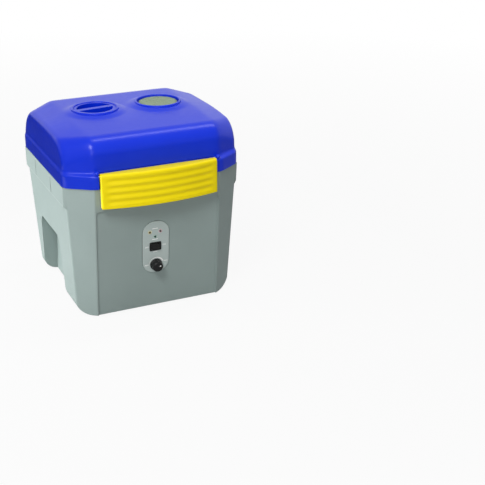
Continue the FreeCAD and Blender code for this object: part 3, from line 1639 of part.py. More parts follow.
def mains_inlet():
    body = on_rear(new_body("Socket"), "inlet_x", "inlet_z")
    flange = sketch(body, "socket_flange_plan", "XY_Plane")
    rectangle(flange, "socket_flange_width", "socket_flange_height", radius="socket_flange")
    pad(body, flange, "socket_flange")
    case = sketch(body, "socket_case", "XY_Plane")
    rectangle(case, "socket_width", "socket_height", radius="socket_wall")
    pad(body, case, "socket_depth", reverse=True)
    well = sketch(body, "socket_well_plan", "XY_Plane", "socket_flange")
    half_wide = "(socket_width / 2 - socket_wall)"
    half_high = "(socket_height / 2 - socket_wall)"
    outline(well, [
        (f"-{half_wide}", f"-{half_high}"),
        (half_wide, f"-{half_high}"),
        (half_wide, f"{half_high} - blade_drop"),
        (f"{half_wide} - blade_drop", half_high),
        (f"-{half_wide} + blade_drop", half_high),
        (f"-{half_wide}", f"{half_high} - blade_drop"),
    ])
    pocket(body, well, "socket_flange + socket_well")
    node("mains_inlet", body)
    blades = []
    for index, across in enumerate((-1, 0, 1)):
        blade = on_rear(new_body(f"Blade_{index}"), "inlet_x", "inlet_z")
        spot = sketch(blade, "blade_section", "XY_Plane", "-socket_well")
        lift = "blade_drop / 2" if across == 0 else "-blade_drop / 2"
        rectangle(spot, "blade_width", "blade_height", f"{across} * blade_spacing", lift)
        pad(blade, spot, "blade_length")
        blades.append(blade)
    node("inlet_blades", combined("Compound", "Inlet_blades", blades))


main_housing()
underside()
filter_deck()
filter_box()
lid_seal()
inlet_ring()
fan_impeller()
motor()
lid_shell()
hinge_pins()
port_fittings()
latch_handle()
control_plate()
indicator_leds()
power_switch()
speed_knob()
electronics()
exhaust_grille()
mains_inlet()
doc.recompute()

failed = [item.Label for item in doc.Objects if {"Invalid", "Error"} & set(item.State)]
for label, item in nodes.items():
    if item.Shape.isNull() or not item.Shape.isValid() or not item.Shape.Solids:
        failed.append(label)
if failed:
    raise RuntimeError(f"not built: {failed}")

os.makedirs("parts", exist_ok=True)
for label, item in nodes.items():
    item.Shape.exportStep(f"parts/{label}.step")
    print(label, len(item.Shape.Solids), round(item.Shape.Volume / 1000, 1), "cm3")
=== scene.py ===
# %% [markdown]
# # Bench-top solder fume extractor
# The machine is a grey moulded tub with a blue hinged hood, a yellow latch and a small control plate.
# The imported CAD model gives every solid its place. This lesson dresses those solids: it gives each one
# the finish of its real material, adds soft forms, small trim and printed marks, and sets up a plain
# studio.

# %% Load the fixed frame
import json
import math

import bmesh
import bpy
import numpy as np
from mathutils import Matrix, Vector


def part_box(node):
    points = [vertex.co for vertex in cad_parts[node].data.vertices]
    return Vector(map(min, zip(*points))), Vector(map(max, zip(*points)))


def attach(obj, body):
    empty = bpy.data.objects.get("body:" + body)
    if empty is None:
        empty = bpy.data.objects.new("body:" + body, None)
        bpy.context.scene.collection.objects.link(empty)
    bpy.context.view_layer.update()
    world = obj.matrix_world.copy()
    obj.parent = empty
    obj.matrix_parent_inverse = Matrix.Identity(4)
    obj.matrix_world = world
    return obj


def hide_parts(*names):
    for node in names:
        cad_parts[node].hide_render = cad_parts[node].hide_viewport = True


MM = 0.001
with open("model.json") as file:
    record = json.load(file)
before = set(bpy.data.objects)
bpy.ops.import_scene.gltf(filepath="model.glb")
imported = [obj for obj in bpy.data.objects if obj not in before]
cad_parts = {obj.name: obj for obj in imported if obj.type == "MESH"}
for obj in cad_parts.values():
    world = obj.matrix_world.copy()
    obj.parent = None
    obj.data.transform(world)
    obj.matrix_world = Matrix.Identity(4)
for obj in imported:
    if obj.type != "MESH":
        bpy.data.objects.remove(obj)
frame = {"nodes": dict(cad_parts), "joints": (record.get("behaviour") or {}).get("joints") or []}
nodes = frame["nodes"]
joints = {joint["name"]: joint for joint in frame["joints"]}
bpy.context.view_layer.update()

# %% [markdown]
# ## Colour and node helpers
# Colours are picked as sRGB hex codes, the way a paint chart lists them, but Blender mixes light in
# linear values, so one function converts them. One more function adds any shader node, sets it and
# links it, so that each material below reads as a short recipe.

# %% Colour and node helpers
def linear(code):
    """Linear colour of an sRGB hex code."""
    channels = [int(code[index:index + 2], 16) / 255 for index in (1, 3, 5)]
    return (*[c / 12.92 if c <= 0.04045 else ((c + 0.055) / 1.055) ** 2.4 for c in channels], 1)


def add_node(tree, kind, values=None, links=None, **settings):
    """Shader node with its settings, socket values and incoming links."""
    made = tree.nodes.new(kind)
    for name, value in settings.items():
        setattr(made, name, value)
    for socket, value in (values or {}).items():
        made.inputs[socket].default_value = value
    for socket, source in (links or {}).items():
        tree.links.new(source, made.inputs[socket])
    return made


def new_finish(name, **values):
    """Material with these values on its Principled shader."""
    finish = bpy.data.materials.new(name)
    finish.use_nodes = True
    shader = finish.node_tree.nodes["Principled BSDF"]
    for socket, value in values.items():
        shader.inputs[socket.replace("_", " ")].default_value = value
    return finish, finish.node_tree, shader


def per_metre(size_mm):
    """Texture scale at which one feature of the pattern is this many millimetres wide."""
    return 1 / (size_mm * MM)


print("Half grey in linear light:", round(linear("#808080")[0], 3))

# %% [markdown]
# ## Moulded plastics
# The tub, hood and latch are injection-moulded ABS. A mould leaves a fine spark-eroded grain on a
# matt part and a faint orange peel on a polished one. Colour drifts a little over a large part, and
# handling polishes and lightens the edges. One recipe covers all of them: two close colours mixed by a
# slow cloud, a fine grain as bump, a roughness that varies, and a paler line where edges are rubbed.
# A painted picture could carry all this too, but it has one size and a seam somewhere. Patterns worked
# out in the object's own space have neither. The grain is drawn about twice as coarse as the real one,
# because a finer one would not show.

# %% Moulded plastic recipe
EDGE_RADIUS = 1.6 * MM
CLOUD_MM, PATCH_MM = 90.0, 14.0
EDGE_STARTS, EDGE_FULL, RUBBED_SHARE = 0.995, 0.80, 0.55
GRAIN_STRENGTH = 0.35
ROUGH_LESS, ROUGH_MORE = 0.05, 0.06


def moulded_plastic(name, shade, tint, grain_mm, grain_depth_mm, rough, rubbed, coat=0.0, shine=0.3):
    """Plastic between two colours, with mould grain and paler rubbed edges."""
    finish, tree, shader = new_finish(
        name, IOR=1.53, Specular_IOR_Level=shine, Coat_Weight=coat, Coat_Roughness=0.12
    )
    place = add_node(tree, "ShaderNodeTexCoord").outputs["Object"]
    cloud = add_node(
        tree, "ShaderNodeTexNoise", {"Scale": per_metre(CLOUD_MM), "Detail": 3.0}, {"Vector": place}
    )
    body = add_node(
        tree, "ShaderNodeMixRGB", {"Color1": linear(shade), "Color2": linear(tint)},
        {"Fac": cloud.outputs["Fac"]},
    )
    soft_edge = add_node(tree, "ShaderNodeBevel", {"Radius": EDGE_RADIUS}, samples=4)
    facing = add_node(tree, "ShaderNodeNewGeometry")
    turn = add_node(
        tree, "ShaderNodeVectorMath", None,
        {0: soft_edge.outputs["Normal"], 1: facing.outputs["Normal"]}, operation="DOT_PRODUCT",
    )
    edge = add_node(
        tree, "ShaderNodeMapRange",
        {"From Min": EDGE_STARTS, "From Max": EDGE_FULL, "To Min": 0.0, "To Max": RUBBED_SHARE},
        {"Value": turn.outputs["Value"]},
    )
    patches = add_node(
        tree, "ShaderNodeTexNoise", {"Scale": per_metre(PATCH_MM), "Detail": 4.0}, {"Vector": place}
    )
    wear = add_node(
        tree, "ShaderNodeMath", None,
        {0: edge.outputs["Result"], 1: patches.outputs["Fac"]}, operation="MULTIPLY",
    )
    worn = add_node(
        tree, "ShaderNodeMixRGB", {"Color2": linear(rubbed)},
        {"Fac": wear.outputs["Value"], "Color1": body.outputs["Color"]},
    )
    tree.links.new(worn.outputs["Color"], shader.inputs["Base Color"])
    grain = add_node(
        tree, "ShaderNodeTexNoise", {"Scale": per_metre(grain_mm), "Detail": 2.0}, {"Vector": place}
    )
    rub = add_node(
        tree, "ShaderNodeMapRange", {"To Min": rough - ROUGH_LESS, "To Max": rough + ROUGH_MORE},
        {"Value": patches.outputs["Fac"]},
    )
    tree.links.new(rub.outputs["Result"], shader.inputs["Roughness"])
    bump = add_node(
        tree, "ShaderNodeBump", {"Strength": GRAIN_STRENGTH, "Distance": grain_depth_mm * MM},
        {"Height": grain.outputs["Fac"], "Normal": soft_edge.outputs["Normal"]},
    )
    tree.links.new(bump.outputs["Normal"], shader.inputs["Normal"])
    return finish


# Cool pale grey that stays matt, with a grain that breaks up the light
grey_abs = moulded_plastic(
    "grey_ABS_fine_grain", "#889794", "#91A09D", 1.1, 0.10, 0.46, "#B4BFBB", shine=0.5
)
# Deep blue with a soft satin highlight on every roll
blue_abs = moulded_plastic(
    "blue_ABS_satin", "#032ACC", "#0432D6", 2.4, 0.03, 0.30, "#1C48E8", shine=0.25
)
# Full yellow, satin, so that the grip waves shade gently
yellow_abs = moulded_plastic(
    "yellow_ABS_satin", "#F0D804", "#F4DE0A", 1.6, 0.05, 0.36, "#F4E24E", shine=0.16
)
# A paler grey than the tub, so that the plate stands out from the panel
plate_abs = moulded_plastic(
    "pale_plate_plastic", "#ACB9B6", "#B5C1BE", 0.9, 0.06, 0.42, "#C6CFCC"
)
# Dull dark grey that draws back inside the machine
dark_abs = moulded_plastic(
    "dark_inner_ABS", "#2A2C2E", "#323436", 1.1, 0.08, 0.55, "#55585A"
)
# Near black, with a grain that takes the shine off
black_abs = moulded_plastic(
    "black_ABS_fine_grain", "#0C0D0D", "#121313", 0.8, 0.06, 0.36, "#2C2E30", shine=0.25
)
# Black that mirrors the room, as a rocker polished by fingers does
black_gloss = moulded_plastic(
    "black_polished_nylon", "#08090A", "#0D0E0F", 1.4, 0.02, 0.18, "#26282B", shine=0.3
)
# Fibres near the surface make it dry and a little cloudy
fan_nylon = moulded_plastic(
    "glass_filled_nylon", "#1B1C1D", "#262829", 0.7, 0.10, 0.58, "#3C3E40"
)
# Greyish olive and dry
screen_plastic = moulded_plastic(
    "olive_screen_plastic", "#8CA084", "#98AC90", 0.9, 0.08, 0.52, "#B4C2AC"
)
# Thick white ink, matt
white_inlay = moulded_plastic(
    "white_print", "#F1F3F0", "#F7F8F6", 0.8, 0.02, 0.45, "#FFFFFF"
)
print("Plastics made")

# %% [markdown]
# ## Rubber, foam, fleece and paper
# Rubber feet are moulded and dull. Gaskets are closed-cell foam with cut cells that show as pits. The
# pre-filter is a bonded fleece, all fine crossed fibres with a soft sheen, and the pleated pack is
# glass-fibre paper with a faint felt texture. Fibres could be grown as hair, but at this size nobody
# would tell them apart. A pattern of cells and a felted noise, added up as bump, give the same softness.

# %% Soft finishes
FELT_COARSER, FELT_STRENGTH = 3, 0.5


def soft_finish(name, shade, tint, feature_mm, depth_mm, rough, sheen, stretch=1.0):
    """Dull finish of cells and felt, drawn out along one axis where fibres run."""
    finish, tree, shader = new_finish(
        name, Roughness=rough, IOR=1.5, Sheen_Weight=sheen, Sheen_Roughness=0.5
    )
    place = add_node(tree, "ShaderNodeTexCoord").outputs["Object"]
    drawn = add_node(
        tree, "ShaderNodeMapping", {"Scale": (1.0, stretch, 1.0)}, {"Vector": place}
    )
    cells = add_node(
        tree, "ShaderNodeTexVoronoi", {"Scale": per_metre(feature_mm)},
        {"Vector": drawn.outputs["Vector"]},
    )
    felt = add_node(
        tree, "ShaderNodeTexNoise", {"Scale": per_metre(feature_mm * FELT_COARSER), "Detail": 6.0},
        {"Vector": drawn.outputs["Vector"]},
    )
    mixed = add_node(
        tree, "ShaderNodeMixRGB", {"Color1": linear(shade), "Color2": linear(tint)},
        {"Fac": felt.outputs["Fac"]},
    )
    tree.links.new(mixed.outputs["Color"], shader.inputs["Base Color"])
    height = add_node(
        tree, "ShaderNodeMath", None,
        {0: cells.outputs["Distance"], 1: felt.outputs["Fac"]}, operation="ADD",
    )
    bump = add_node(
        tree, "ShaderNodeBump", {"Strength": FELT_STRENGTH, "Distance": depth_mm * MM},
        {"Height": height.outputs["Value"]},
    )
    tree.links.new(bump.outputs["Normal"], shader.inputs["Normal"])
    return finish


# Black without a clear highlight
foot_rubber = soft_finish("black_foot_rubber", "#151515", "#1E1E1E", 1.5, 0.05, 0.75, 0.1)
# Black and pitted, so that it swallows light
gasket_foam = soft_finish("black_closed_cell_foam", "#0E0E0F", "#1B1B1C", 1.6, 0.5, 0.85, 0.2)
# Soft white, a little brighter where it is seen along the surface
fleece = soft_finish("white_bonded_fleece", "#E6E7E4", "#F4F4F1", 2.2, 0.8, 0.92, 0.15, 3.0)
# Matt white with faint fibres
filter_paper = soft_finish("glass_fibre_paper", "#E4E5E1", "#F0F0EC", 1.2, 0.2, 0.90, 0.2)
print("Soft finishes made")

# %% [markdown]
# ## Metals and the board
# Galvanised sheet shows spangle: zinc crystals some 10 mm wide, each at its own brightness. Ground
# shafts and plated screws show fine lines along the grinding direction. The motor is enamelled, and the
# board is green laminate under a glossy solder mask. Those two are coated, so they use the plastic
# recipe. Crystals come from a pattern of cells with one brightness each, and ground lines from a noise
# drawn out along one axis: both stay in place when the part moves.

# %% Metal finishes
RELIEF_STRENGTH, RELIEF_DEPTH = 0.1, 0.05 * MM


def metal(name, shade, tint, feature_mm, rough, spread, stretch=(1.0, 1.0, 1.0), crystals=False):
    """Metal between two colours, in crystals or in drawn-out lines."""
    finish, tree, shader = new_finish(name, Metallic=1.0)
    place = add_node(tree, "ShaderNodeTexCoord").outputs["Object"]
    drawn = add_node(tree, "ShaderNodeMapping", {"Scale": stretch}, {"Vector": place})
    if crystals:
        pattern = add_node(
            tree, "ShaderNodeTexVoronoi", {"Scale": per_metre(feature_mm)},
            {"Vector": drawn.outputs["Vector"]},
        )
        level = add_node(
            tree, "ShaderNodeSeparateColor", None, {"Color": pattern.outputs["Color"]}
        ).outputs["Red"]
    else:
        level = add_node(
            tree, "ShaderNodeTexNoise", {"Scale": per_metre(feature_mm), "Detail": 5.0},
            {"Vector": drawn.outputs["Vector"]},
        ).outputs["Fac"]
    mixed = add_node(
        tree, "ShaderNodeMixRGB", {"Color1": linear(shade), "Color2": linear(tint)}, {"Fac": level}
    )
    tree.links.new(mixed.outputs["Color"], shader.inputs["Base Color"])
    dull = add_node(
        tree, "ShaderNodeMapRange", {"To Min": rough - spread, "To Max": rough + spread},
        {"Value": level},
    )
    tree.links.new(dull.outputs["Result"], shader.inputs["Roughness"])
    bump = add_node(
        tree, "ShaderNodeBump", {"Strength": RELIEF_STRENGTH, "Distance": RELIEF_DEPTH},
        {"Height": level},
    )
    tree.links.new(bump.outputs["Normal"], shader.inputs["Normal"])
    return finish


# Patchwork of bright and dull crystals
galvanised = metal(
    "galvanised_sheet_spangle", "#AEB4B8", "#D2D6D8", 11.0, 0.36, 0.10, crystals=True
)
# Even cool shine
zinc_plate = metal("zinc_plated_sheet", "#A4A8AA", "#BFC3C4", 6.0, 0.34, 0.08)
# Fine bright lines along the shaft
ground_steel = metal("ground_shaft_steel", "#A2A4A6", "#C4C6C8", 1.2, 0.24, 0.08, (0.05, 1.0, 1.0))
# Warm golden shine
plated_brass = metal("plated_brass", "#B79A58", "#D0B878", 2.0, 0.28, 0.06)
# Black under a hard even gloss
motor_enamel = moulded_plastic(
    "black_motor_enamel", "#202224", "#292B2D", 1.8, 0.06, 0.36, "#5A5D60", coat=0.3
)
# Deep green under a clear gloss
board_mask = moulded_plastic(
    "green_board_laminate", "#12522A", "#1C6B38", 4.0, 0.02, 0.28, "#7FA58C", coat=0.4
)
print("Metals made")

# %% [markdown]
# ## Lamp lenses
# The three lamps are moulded epoxy with a dye in it. Unlit, they look dark and glassy. Clear glass
# shading would need an inside to look at, and these lenses are solid. A dark body under a glossy coat
# gives the same look. The dye is never stirred quite evenly, so a cloud mixes a deep and a clear tint.

# %% Lamp lens recipe
DYE_MM = 3.0


def lamp_lens(name, deep, clear):
    """Dyed epoxy under a glossy skin."""
    finish, tree, shader = new_finish(
        name, Roughness=0.12, IOR=1.55, Coat_Weight=0.6, Coat_Roughness=0.05
    )
    place = add_node(tree, "ShaderNodeTexCoord").outputs["Object"]
    dye = add_node(
        tree, "ShaderNodeTexNoise", {"Scale": per_metre(DYE_MM), "Detail": 2.0}, {"Vector": place}
    )
    mixed = add_node(
        tree, "ShaderNodeMixRGB", {"Color1": linear(clear), "Color2": linear(deep)},
        {"Fac": dye.outputs["Fac"]},
    )
    tree.links.new(mixed.outputs["Color"], shader.inputs["Base Color"])
    return finish


# Dark glassy colours that wake up only in a highlight
amber_lens = lamp_lens("amber_epoxy_lens", "#2A2206", "#6E5A12")
red_lens = lamp_lens("red_epoxy_lens", "#160206", "#4C0A12")
green_lens = lamp_lens("green_epoxy_lens", "#03201A", "#10543E")
print("Lenses made")

# %% [markdown]
# ## Finish for every solid
# Each CAD node keeps its shape and takes the finish of its real material. Finishes could be given one
# by one, but a table reads like a parts list with a material column, and what is left over is printed.

# %% Give each solid its finish
FINISHES = {
    grey_abs: ["main_housing"],
    blue_abs: ["lid_shell", "port_cap"],
    yellow_abs: ["latch_handle"],
    plate_abs: ["control_plate"],
    dark_abs: ["filter_deck", "inlet_ring", "electronics_cover", "exhaust_grille"],
    black_abs: ["switch_body", "speed_knob", "mains_inlet"],
    black_gloss: ["power_rocker"],
    fan_nylon: ["fan_impeller"],
    screen_plastic: ["port_screen"],
    white_inlay: ["knob_pointer"],
    foot_rubber: ["rubber_feet"],
    gasket_foam: ["filter_gasket_lower", "filter_gasket_upper", "lid_seal"],
    filter_paper: ["filter_media"],
    galvanised: ["filter_frame"],
    zinc_plate: ["base_plate", "motor_mount", "speed_control"],
    ground_steel: ["base_screws", "motor_shaft", "hinge_pins", "latch_rod", "knob_shaft"],
    plated_brass: ["board_standoffs", "inlet_blades"],
    motor_enamel: ["motor_body"],
    board_mask: ["control_board"],
    amber_lens: ["led_yellow"],
    red_lens: ["led_red"],
    green_lens: ["led_green"],
}
for finish, names in FINISHES.items():
    for name in names:
        solid = nodes[name]
        solid.data.materials.clear()
        solid.data.materials.append(finish)
print("Undressed:", sorted(set(nodes) - {n for names in FINISHES.values() for n in names}))

# %% [markdown]
# ## Shape helpers
# Most added pieces are skins over rows of points: a lathe profile spun round an axis, a profile moved
# along a bow, or a prism between two outlines. One function joins rows with four-sided faces, one makes
# a prism, and one closes a shape into an object that is smooth but keeps its real edges sharp.

# %% Shape helpers
SHARP_ANGLE = 38.0


def skin(shape, rings):
    """Join each ring of vertices to the next one with four-sided faces."""
    for ring, after in zip(rings, rings[1:]):
        for index in range(len(ring)):
            nxt = (index + 1) % len(ring)
            shape.faces.new((ring[index], ring[nxt], after[nxt], after[index]))


def prism(shape, first, last):
    """Closed solid between two outlines of points in metres, with as many points in each."""
    rings = [[shape.verts.new(point) for point in outline] for outline in (first, last)]
    skin(shape, rings)
    shape.faces.new(rings[0][::-1])
    shape.faces.new(rings[1])


def face_outwards(shape):
    """Turn all faces of a closed shape to look outwards."""
    bmesh.ops.recalc_face_normals(shape, faces=shape.faces)


def new_piece(name, shape, finish, sharp_angle=SHARP_ANGLE):
    """Close a bmesh into an object with smooth faces, kept sharp at real edges."""
    mesh = bpy.data.meshes.new(name)
    shape.to_mesh(mesh)
    shape.free()
    mesh.polygons.foreach_set("use_smooth", [True] * len(mesh.polygons))
    mesh.set_sharp_from_angle(angle=math.radians(sharp_angle))
    mesh.materials.append(finish)
    made = bpy.data.objects.new(name, mesh)
    bpy.context.scene.collection.objects.link(made)
    return made


print("Edges stay sharp from", SHARP_ANGLE, "degrees")

# %% [markdown]
# ## Hood
# The hood is one moulded shell. All its edges are soft: the crown rolls over to the front, creases
# fade into the shoulders, the skirt grows out of the walls and the two ports rise out of the top like
# low craters. It could be sculpted, or drawn as a cage and subdivided, but then no size could be read
# or changed. So it is written as a field, a number that is negative inside and positive outside. Fields
# join with soft fillets. A net of rays, shot outwards from inside the hood, finds where the field is
# zero and gives clean rows of faces. Below, a share runs from 0 at the crease to 1 at the hood's side,
# and each size given as a pair loses or gains its second value over that share.

# %% Hood sizes, in millimetres
SKIRT_HALF, SKIRT_FRONT, SKIRT_REAR, SKIRT_TOP = 200.8, -187.2, 197.0, 344.0
SKIRT_CORNER, SKIRT_EDGE, SKIRT_FILLET = 7.0, 5.0, 9.0
CROWN_HALF, REAR_HALF = 144.0, 160.0
FRONT_SLOPE, REAR_SLOPE = 0.70, 0.50
CREASE, SIDE, CREASE_SOFT = 143.0, 199.5, 0.10
RIM = 313.8
NOTCH_HALF, NOTCH_WALL, NOTCH_TOP = 133.5, -176.0, 348.0
FRONT_HEIGHT, FRONT_RISE, FRONT_SWEEP = (417, 11), (10, 2), 35
BACK_HEIGHT, BACK_FALL, BACK_REACH = (427, 13), 4, 218
KNEE_Y, KNEE_FILLET = -35, 5.0
REAR_WALL, REAR_SWEEP = 195.5, 12.5
FRONT_ROLL, REAR_ROLL, SIDE_ROLL = (34, 16), (70, 15), 8.0
PORTS = ((-75.0, 15.4), (75.0, 15.4))
PORT_RADIUS, FLARE_REACH, FLARE_RISE = 53.0, 21.0, 4.4
DEEP_INSIDE = -1000.0
print("Hood:", 2 * SKIRT_HALF, "by", SKIRT_REAR - SKIRT_FRONT, "mm at the skirt")


# %% Hood field
def rounded(a, b, radius):
    """Corner between two fields, rounded to this radius."""
    corner = np.hypot(np.maximum(a + radius, 0), np.maximum(b + radius, 0))
    return np.minimum(np.maximum(a, b) + radius, 0) + corner - radius


def filleted(a, b, size):
    """Union of two fields with a soft hollow fillet between them."""
    mix = np.clip(0.5 + 0.5 * (b - a) / size, 0, 1)
    return b * (1 - mix) + a * mix - size * mix * (1 - mix)


def skirt_planes():
    """Upright planes of the skirt, round the hood from the front: outward normal and distance."""
    front = np.array((FRONT_SLOPE, -1.0)) / math.hypot(FRONT_SLOPE, 1)
    rear = np.array((REAR_SLOPE, 1.0)) / math.hypot(REAR_SLOPE, 1)
    front_reach = front @ (CROWN_HALF, SKIRT_FRONT)
    rear_reach = rear @ (REAR_HALF, SKIRT_REAR)
    flip = np.array((-1.0, 1.0))
    return [
        (np.array((0.0, -1.0)), -SKIRT_FRONT), (front, front_reach),
        (np.array((1.0, 0.0)), SKIRT_HALF), (rear, rear_reach),
        (np.array((0.0, 1.0)), SKIRT_REAR), (rear * flip, rear_reach),
        (np.array((-1.0, 0.0)), SKIRT_HALF), (front * flip, front_reach),
    ]


def hood_top(x, y, share):
    """Height of the top: a ramp from the front, a flatter back, and a flare round each port."""
    front = NOTCH_WALL + FRONT_SWEEP * share
    slope = (FRONT_RISE[0] - FRONT_RISE[1] * share) / (KNEE_Y - front)
    rise = FRONT_HEIGHT[0] - FRONT_HEIGHT[1] * share + (y - front) * slope
    back = BACK_HEIGHT[0] - BACK_HEIGHT[1] * share - BACK_FALL * share * (y - KNEE_Y) / BACK_REACH
    top = filleted(rise, back, KNEE_FILLET)
    for port_x, port_y in PORTS:
        near = np.clip((np.hypot(x - port_x, y - port_y) - PORT_RADIUS) / FLARE_REACH, 0, 1)
        top = top + FLARE_RISE * (1 - near) ** 2 * (1 + 2 * near)
    return top


def hood_field(x, y, z):
    """Field of the whole hood, with the latch's notch cut out."""
    ramp = (np.abs(x) - CREASE) / (SIDE - CREASE)
    share = 0.5 * (ramp + np.sqrt(ramp ** 2 + CREASE_SOFT ** 2))
    front = NOTCH_WALL + FRONT_SWEEP * share - y
    rear = y - REAR_WALL + REAR_SWEEP * share
    body = rounded(z - hood_top(x, y, share), front, FRONT_ROLL[0] + FRONT_ROLL[1] * share)
    body = rounded(body, rear, REAR_ROLL[0] + REAR_ROLL[1] * share)
    body = rounded(body, np.abs(x) - SIDE, SIDE_ROLL)
    plan = DEEP_INSIDE
    for direction, reach in skirt_planes():
        plan = rounded(plan, x * direction[0] + y * direction[1] - reach, SKIRT_CORNER)
    skirt = rounded(plan, z - SKIRT_TOP, SKIRT_EDGE)
    whole = filleted(body, skirt, SKIRT_FILLET)
    notch = np.maximum(np.abs(x) - NOTCH_HALF, np.maximum(y - NOTCH_WALL, z - NOTCH_TOP))
    return np.maximum(whole, -notch)


print("Crown between the ports:", round(float(hood_top(0.0, PORTS[0][1], 0.0)), 1), "mm up")

# %% Net of rays over the hood
CORE_INSET, RAY_INSET, FLANGE = 50.0, 35.0, 16.0
NET_STEP, NET_LEAST, ARC_STEPS, LEAN_STEPS, TOP_ROWS = 6.5, 3, 9, 24, 46
NOTCH_EXTRA = (-1.5, -0.3, 0.3, 1.5)
RAY_REACH, HALVINGS = 170.0, 34
CROWN_CENTRE = np.array((0.0, 5.0))
WALL_LEVELS = (RIM, 316, 322, 328, 333, 336, 338, 340, 342, 344, 346, 347.7, 348.3, 350, 353)


def rim_net():
    """Points round a core inside the hood, and the outward direction of the ray at each one."""
    planes = skirt_planes()
    corners = []
    for (n0, d0), (n1, d1) in zip(planes, planes[1:] + planes[:1]):
        corners.append(np.linalg.solve(np.array((n0, n1)), (d0 - CORE_INSET, d1 - CORE_INSET)))
    spots, aims = [], []
    for index, (direction, _) in enumerate(planes):
        start, end = corners[index - 1], corners[index]
        length = np.linalg.norm(end - start)
        shares = list(np.linspace(0, 1, max(NET_LEAST, int(length / NET_STEP))))
        if index == 0:
            for mark in (-NOTCH_HALF, NOTCH_HALF):
                middle = (mark - start[0]) / (end[0] - start[0])
                shares += [middle + step / length for step in NOTCH_EXTRA]
        shares = sorted(share for share in shares if 0 <= share <= 1)
        spots += [start + (end - start) * share for share in shares]
        aims += [direction] * len(shares)
        after = planes[(index + 1) % len(planes)][0]
        for step in range(1, ARC_STEPS):
            blend = direction + (after - direction) * step / ARC_STEPS
            spots.append(end)
            aims.append(blend / np.linalg.norm(blend))
    return np.array(spots), np.array(aims)


def hit(start, aim):
    """Where each ray crosses the hood's surface."""
    near, far = np.zeros(len(start)), np.full(len(start), RAY_REACH)
    for _ in range(HALVINGS):
        middle = (near + far) / 2
        outside = hood_field(*(start + aim * middle[:, None]).T) > 0
        far = np.where(outside, middle, far)
        near = np.where(outside, near, middle)
    return start + aim * near[:, None]


core, aims = rim_net()
flat = np.zeros((len(core), 1))
seats = core + aims * (CORE_INSET - RAY_INSET)
rows = [np.hstack((core + aims * (CORE_INSET - FLANGE), flat + RIM))]
for level in WALL_LEVELS:
    rows.append(hit(np.hstack((seats, flat + level)), np.hstack((aims, flat))))
for step in range(1, LEAN_STEPS + 1):
    lean = math.radians(90 * step / LEAN_STEPS)
    ray = np.hstack((aims * math.cos(lean), flat + math.sin(lean)))
    rows.append(hit(np.hstack((seats, flat + WALL_LEVELS[-1])), ray))
for step in range(1, TOP_ROWS):
    inner = CROWN_CENTRE + (seats - CROWN_CENTRE) * (1 - step / TOP_ROWS)
    rows.append(hit(np.hstack((inner, flat + WALL_LEVELS[-1])), np.hstack((flat, flat, flat + 1))))
print("Hood net:", len(rows), "rows of", len(core))

# %% Hood shell
WALL, HOLE_INSET = 2.8, 2.5
HOLE = (PORT_RADIUS - HOLE_INSET) * MM
MERGE = 0.01 * MM
shell = bmesh.new()
grid = [[shell.verts.new(point * MM) for point in row] for row in rows]
skin(shell, grid)
shell.faces.new(grid[-1])
inside_ports = [
    face for face in shell.faces
    if any((face.calc_center_median().xy - Vector(port) * MM).length < HOLE for port in PORTS)
]
bmesh.ops.delete(shell, geom=inside_ports, context="FACES")
bmesh.ops.remove_doubles(shell, verts=shell.verts, dist=MERGE)
hood = new_piece("hood", shell, blue_abs)
wall = hood.modifiers.new("wall", "SOLIDIFY")
wall.thickness = WALL * MM
wall.offset = -1
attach(hood, "lid")
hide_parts("lid_shell")
print("Hood faces:", len(hood.data.polygons))

# %% [markdown]
# ## Port collars
# Each port ends in a turned collar with a rounded lip, a bore for the duct and a ledge that carries the
# guard or the plug. Bevelled cylinders could be cut from each other, but one lathe profile, in radius
# and height, spun round the port's axis keeps every step of the turning in one list.

# %% Port collars
COLLAR = (
    (53.2, 421.0), (53.2, 432.4), (52.7, 433.5), (51.6, 434.0), (49.2, 434.0), (48.4, 433.7),
    (48.0, 433.0), (48.0, 424.8), (44.1, 424.8), (44.1, 416.0), (47.5, 416.0),
)
COLLAR_TURNS = 96


def lathe(shape, profile, x, y, turns):
    """Closed profile of radius and height, spun round an upright axis, in millimetres."""
    rings = []
    for step in range(turns):
        angle = 2 * math.pi * step / turns
        rings.append([
            shape.verts.new(Vector((x + r * math.cos(angle), y + r * math.sin(angle), z)) * MM)
            for r, z in profile
        ])
    skin(shape, rings + rings[:1])


collars = bmesh.new()
for port_x, port_y in PORTS:
    lathe(collars, COLLAR, port_x, port_y, COLLAR_TURNS)
face_outwards(collars)
collar_piece = new_piece("port_collars", collars, blue_abs)
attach(collar_piece, "lid")
print("Collars:", len(PORTS))

# %% [markdown]
# ## Guard in the open port
# The open port has a moulded guard that keeps loose things out of the filter. It stands on the ledge as
# a shallow upturned dish, so that its sieve lies just under the lip. An array of bars would stick out
# of the ring. So there is a ring and two layers of crossed strands, each as long as the circle is there.

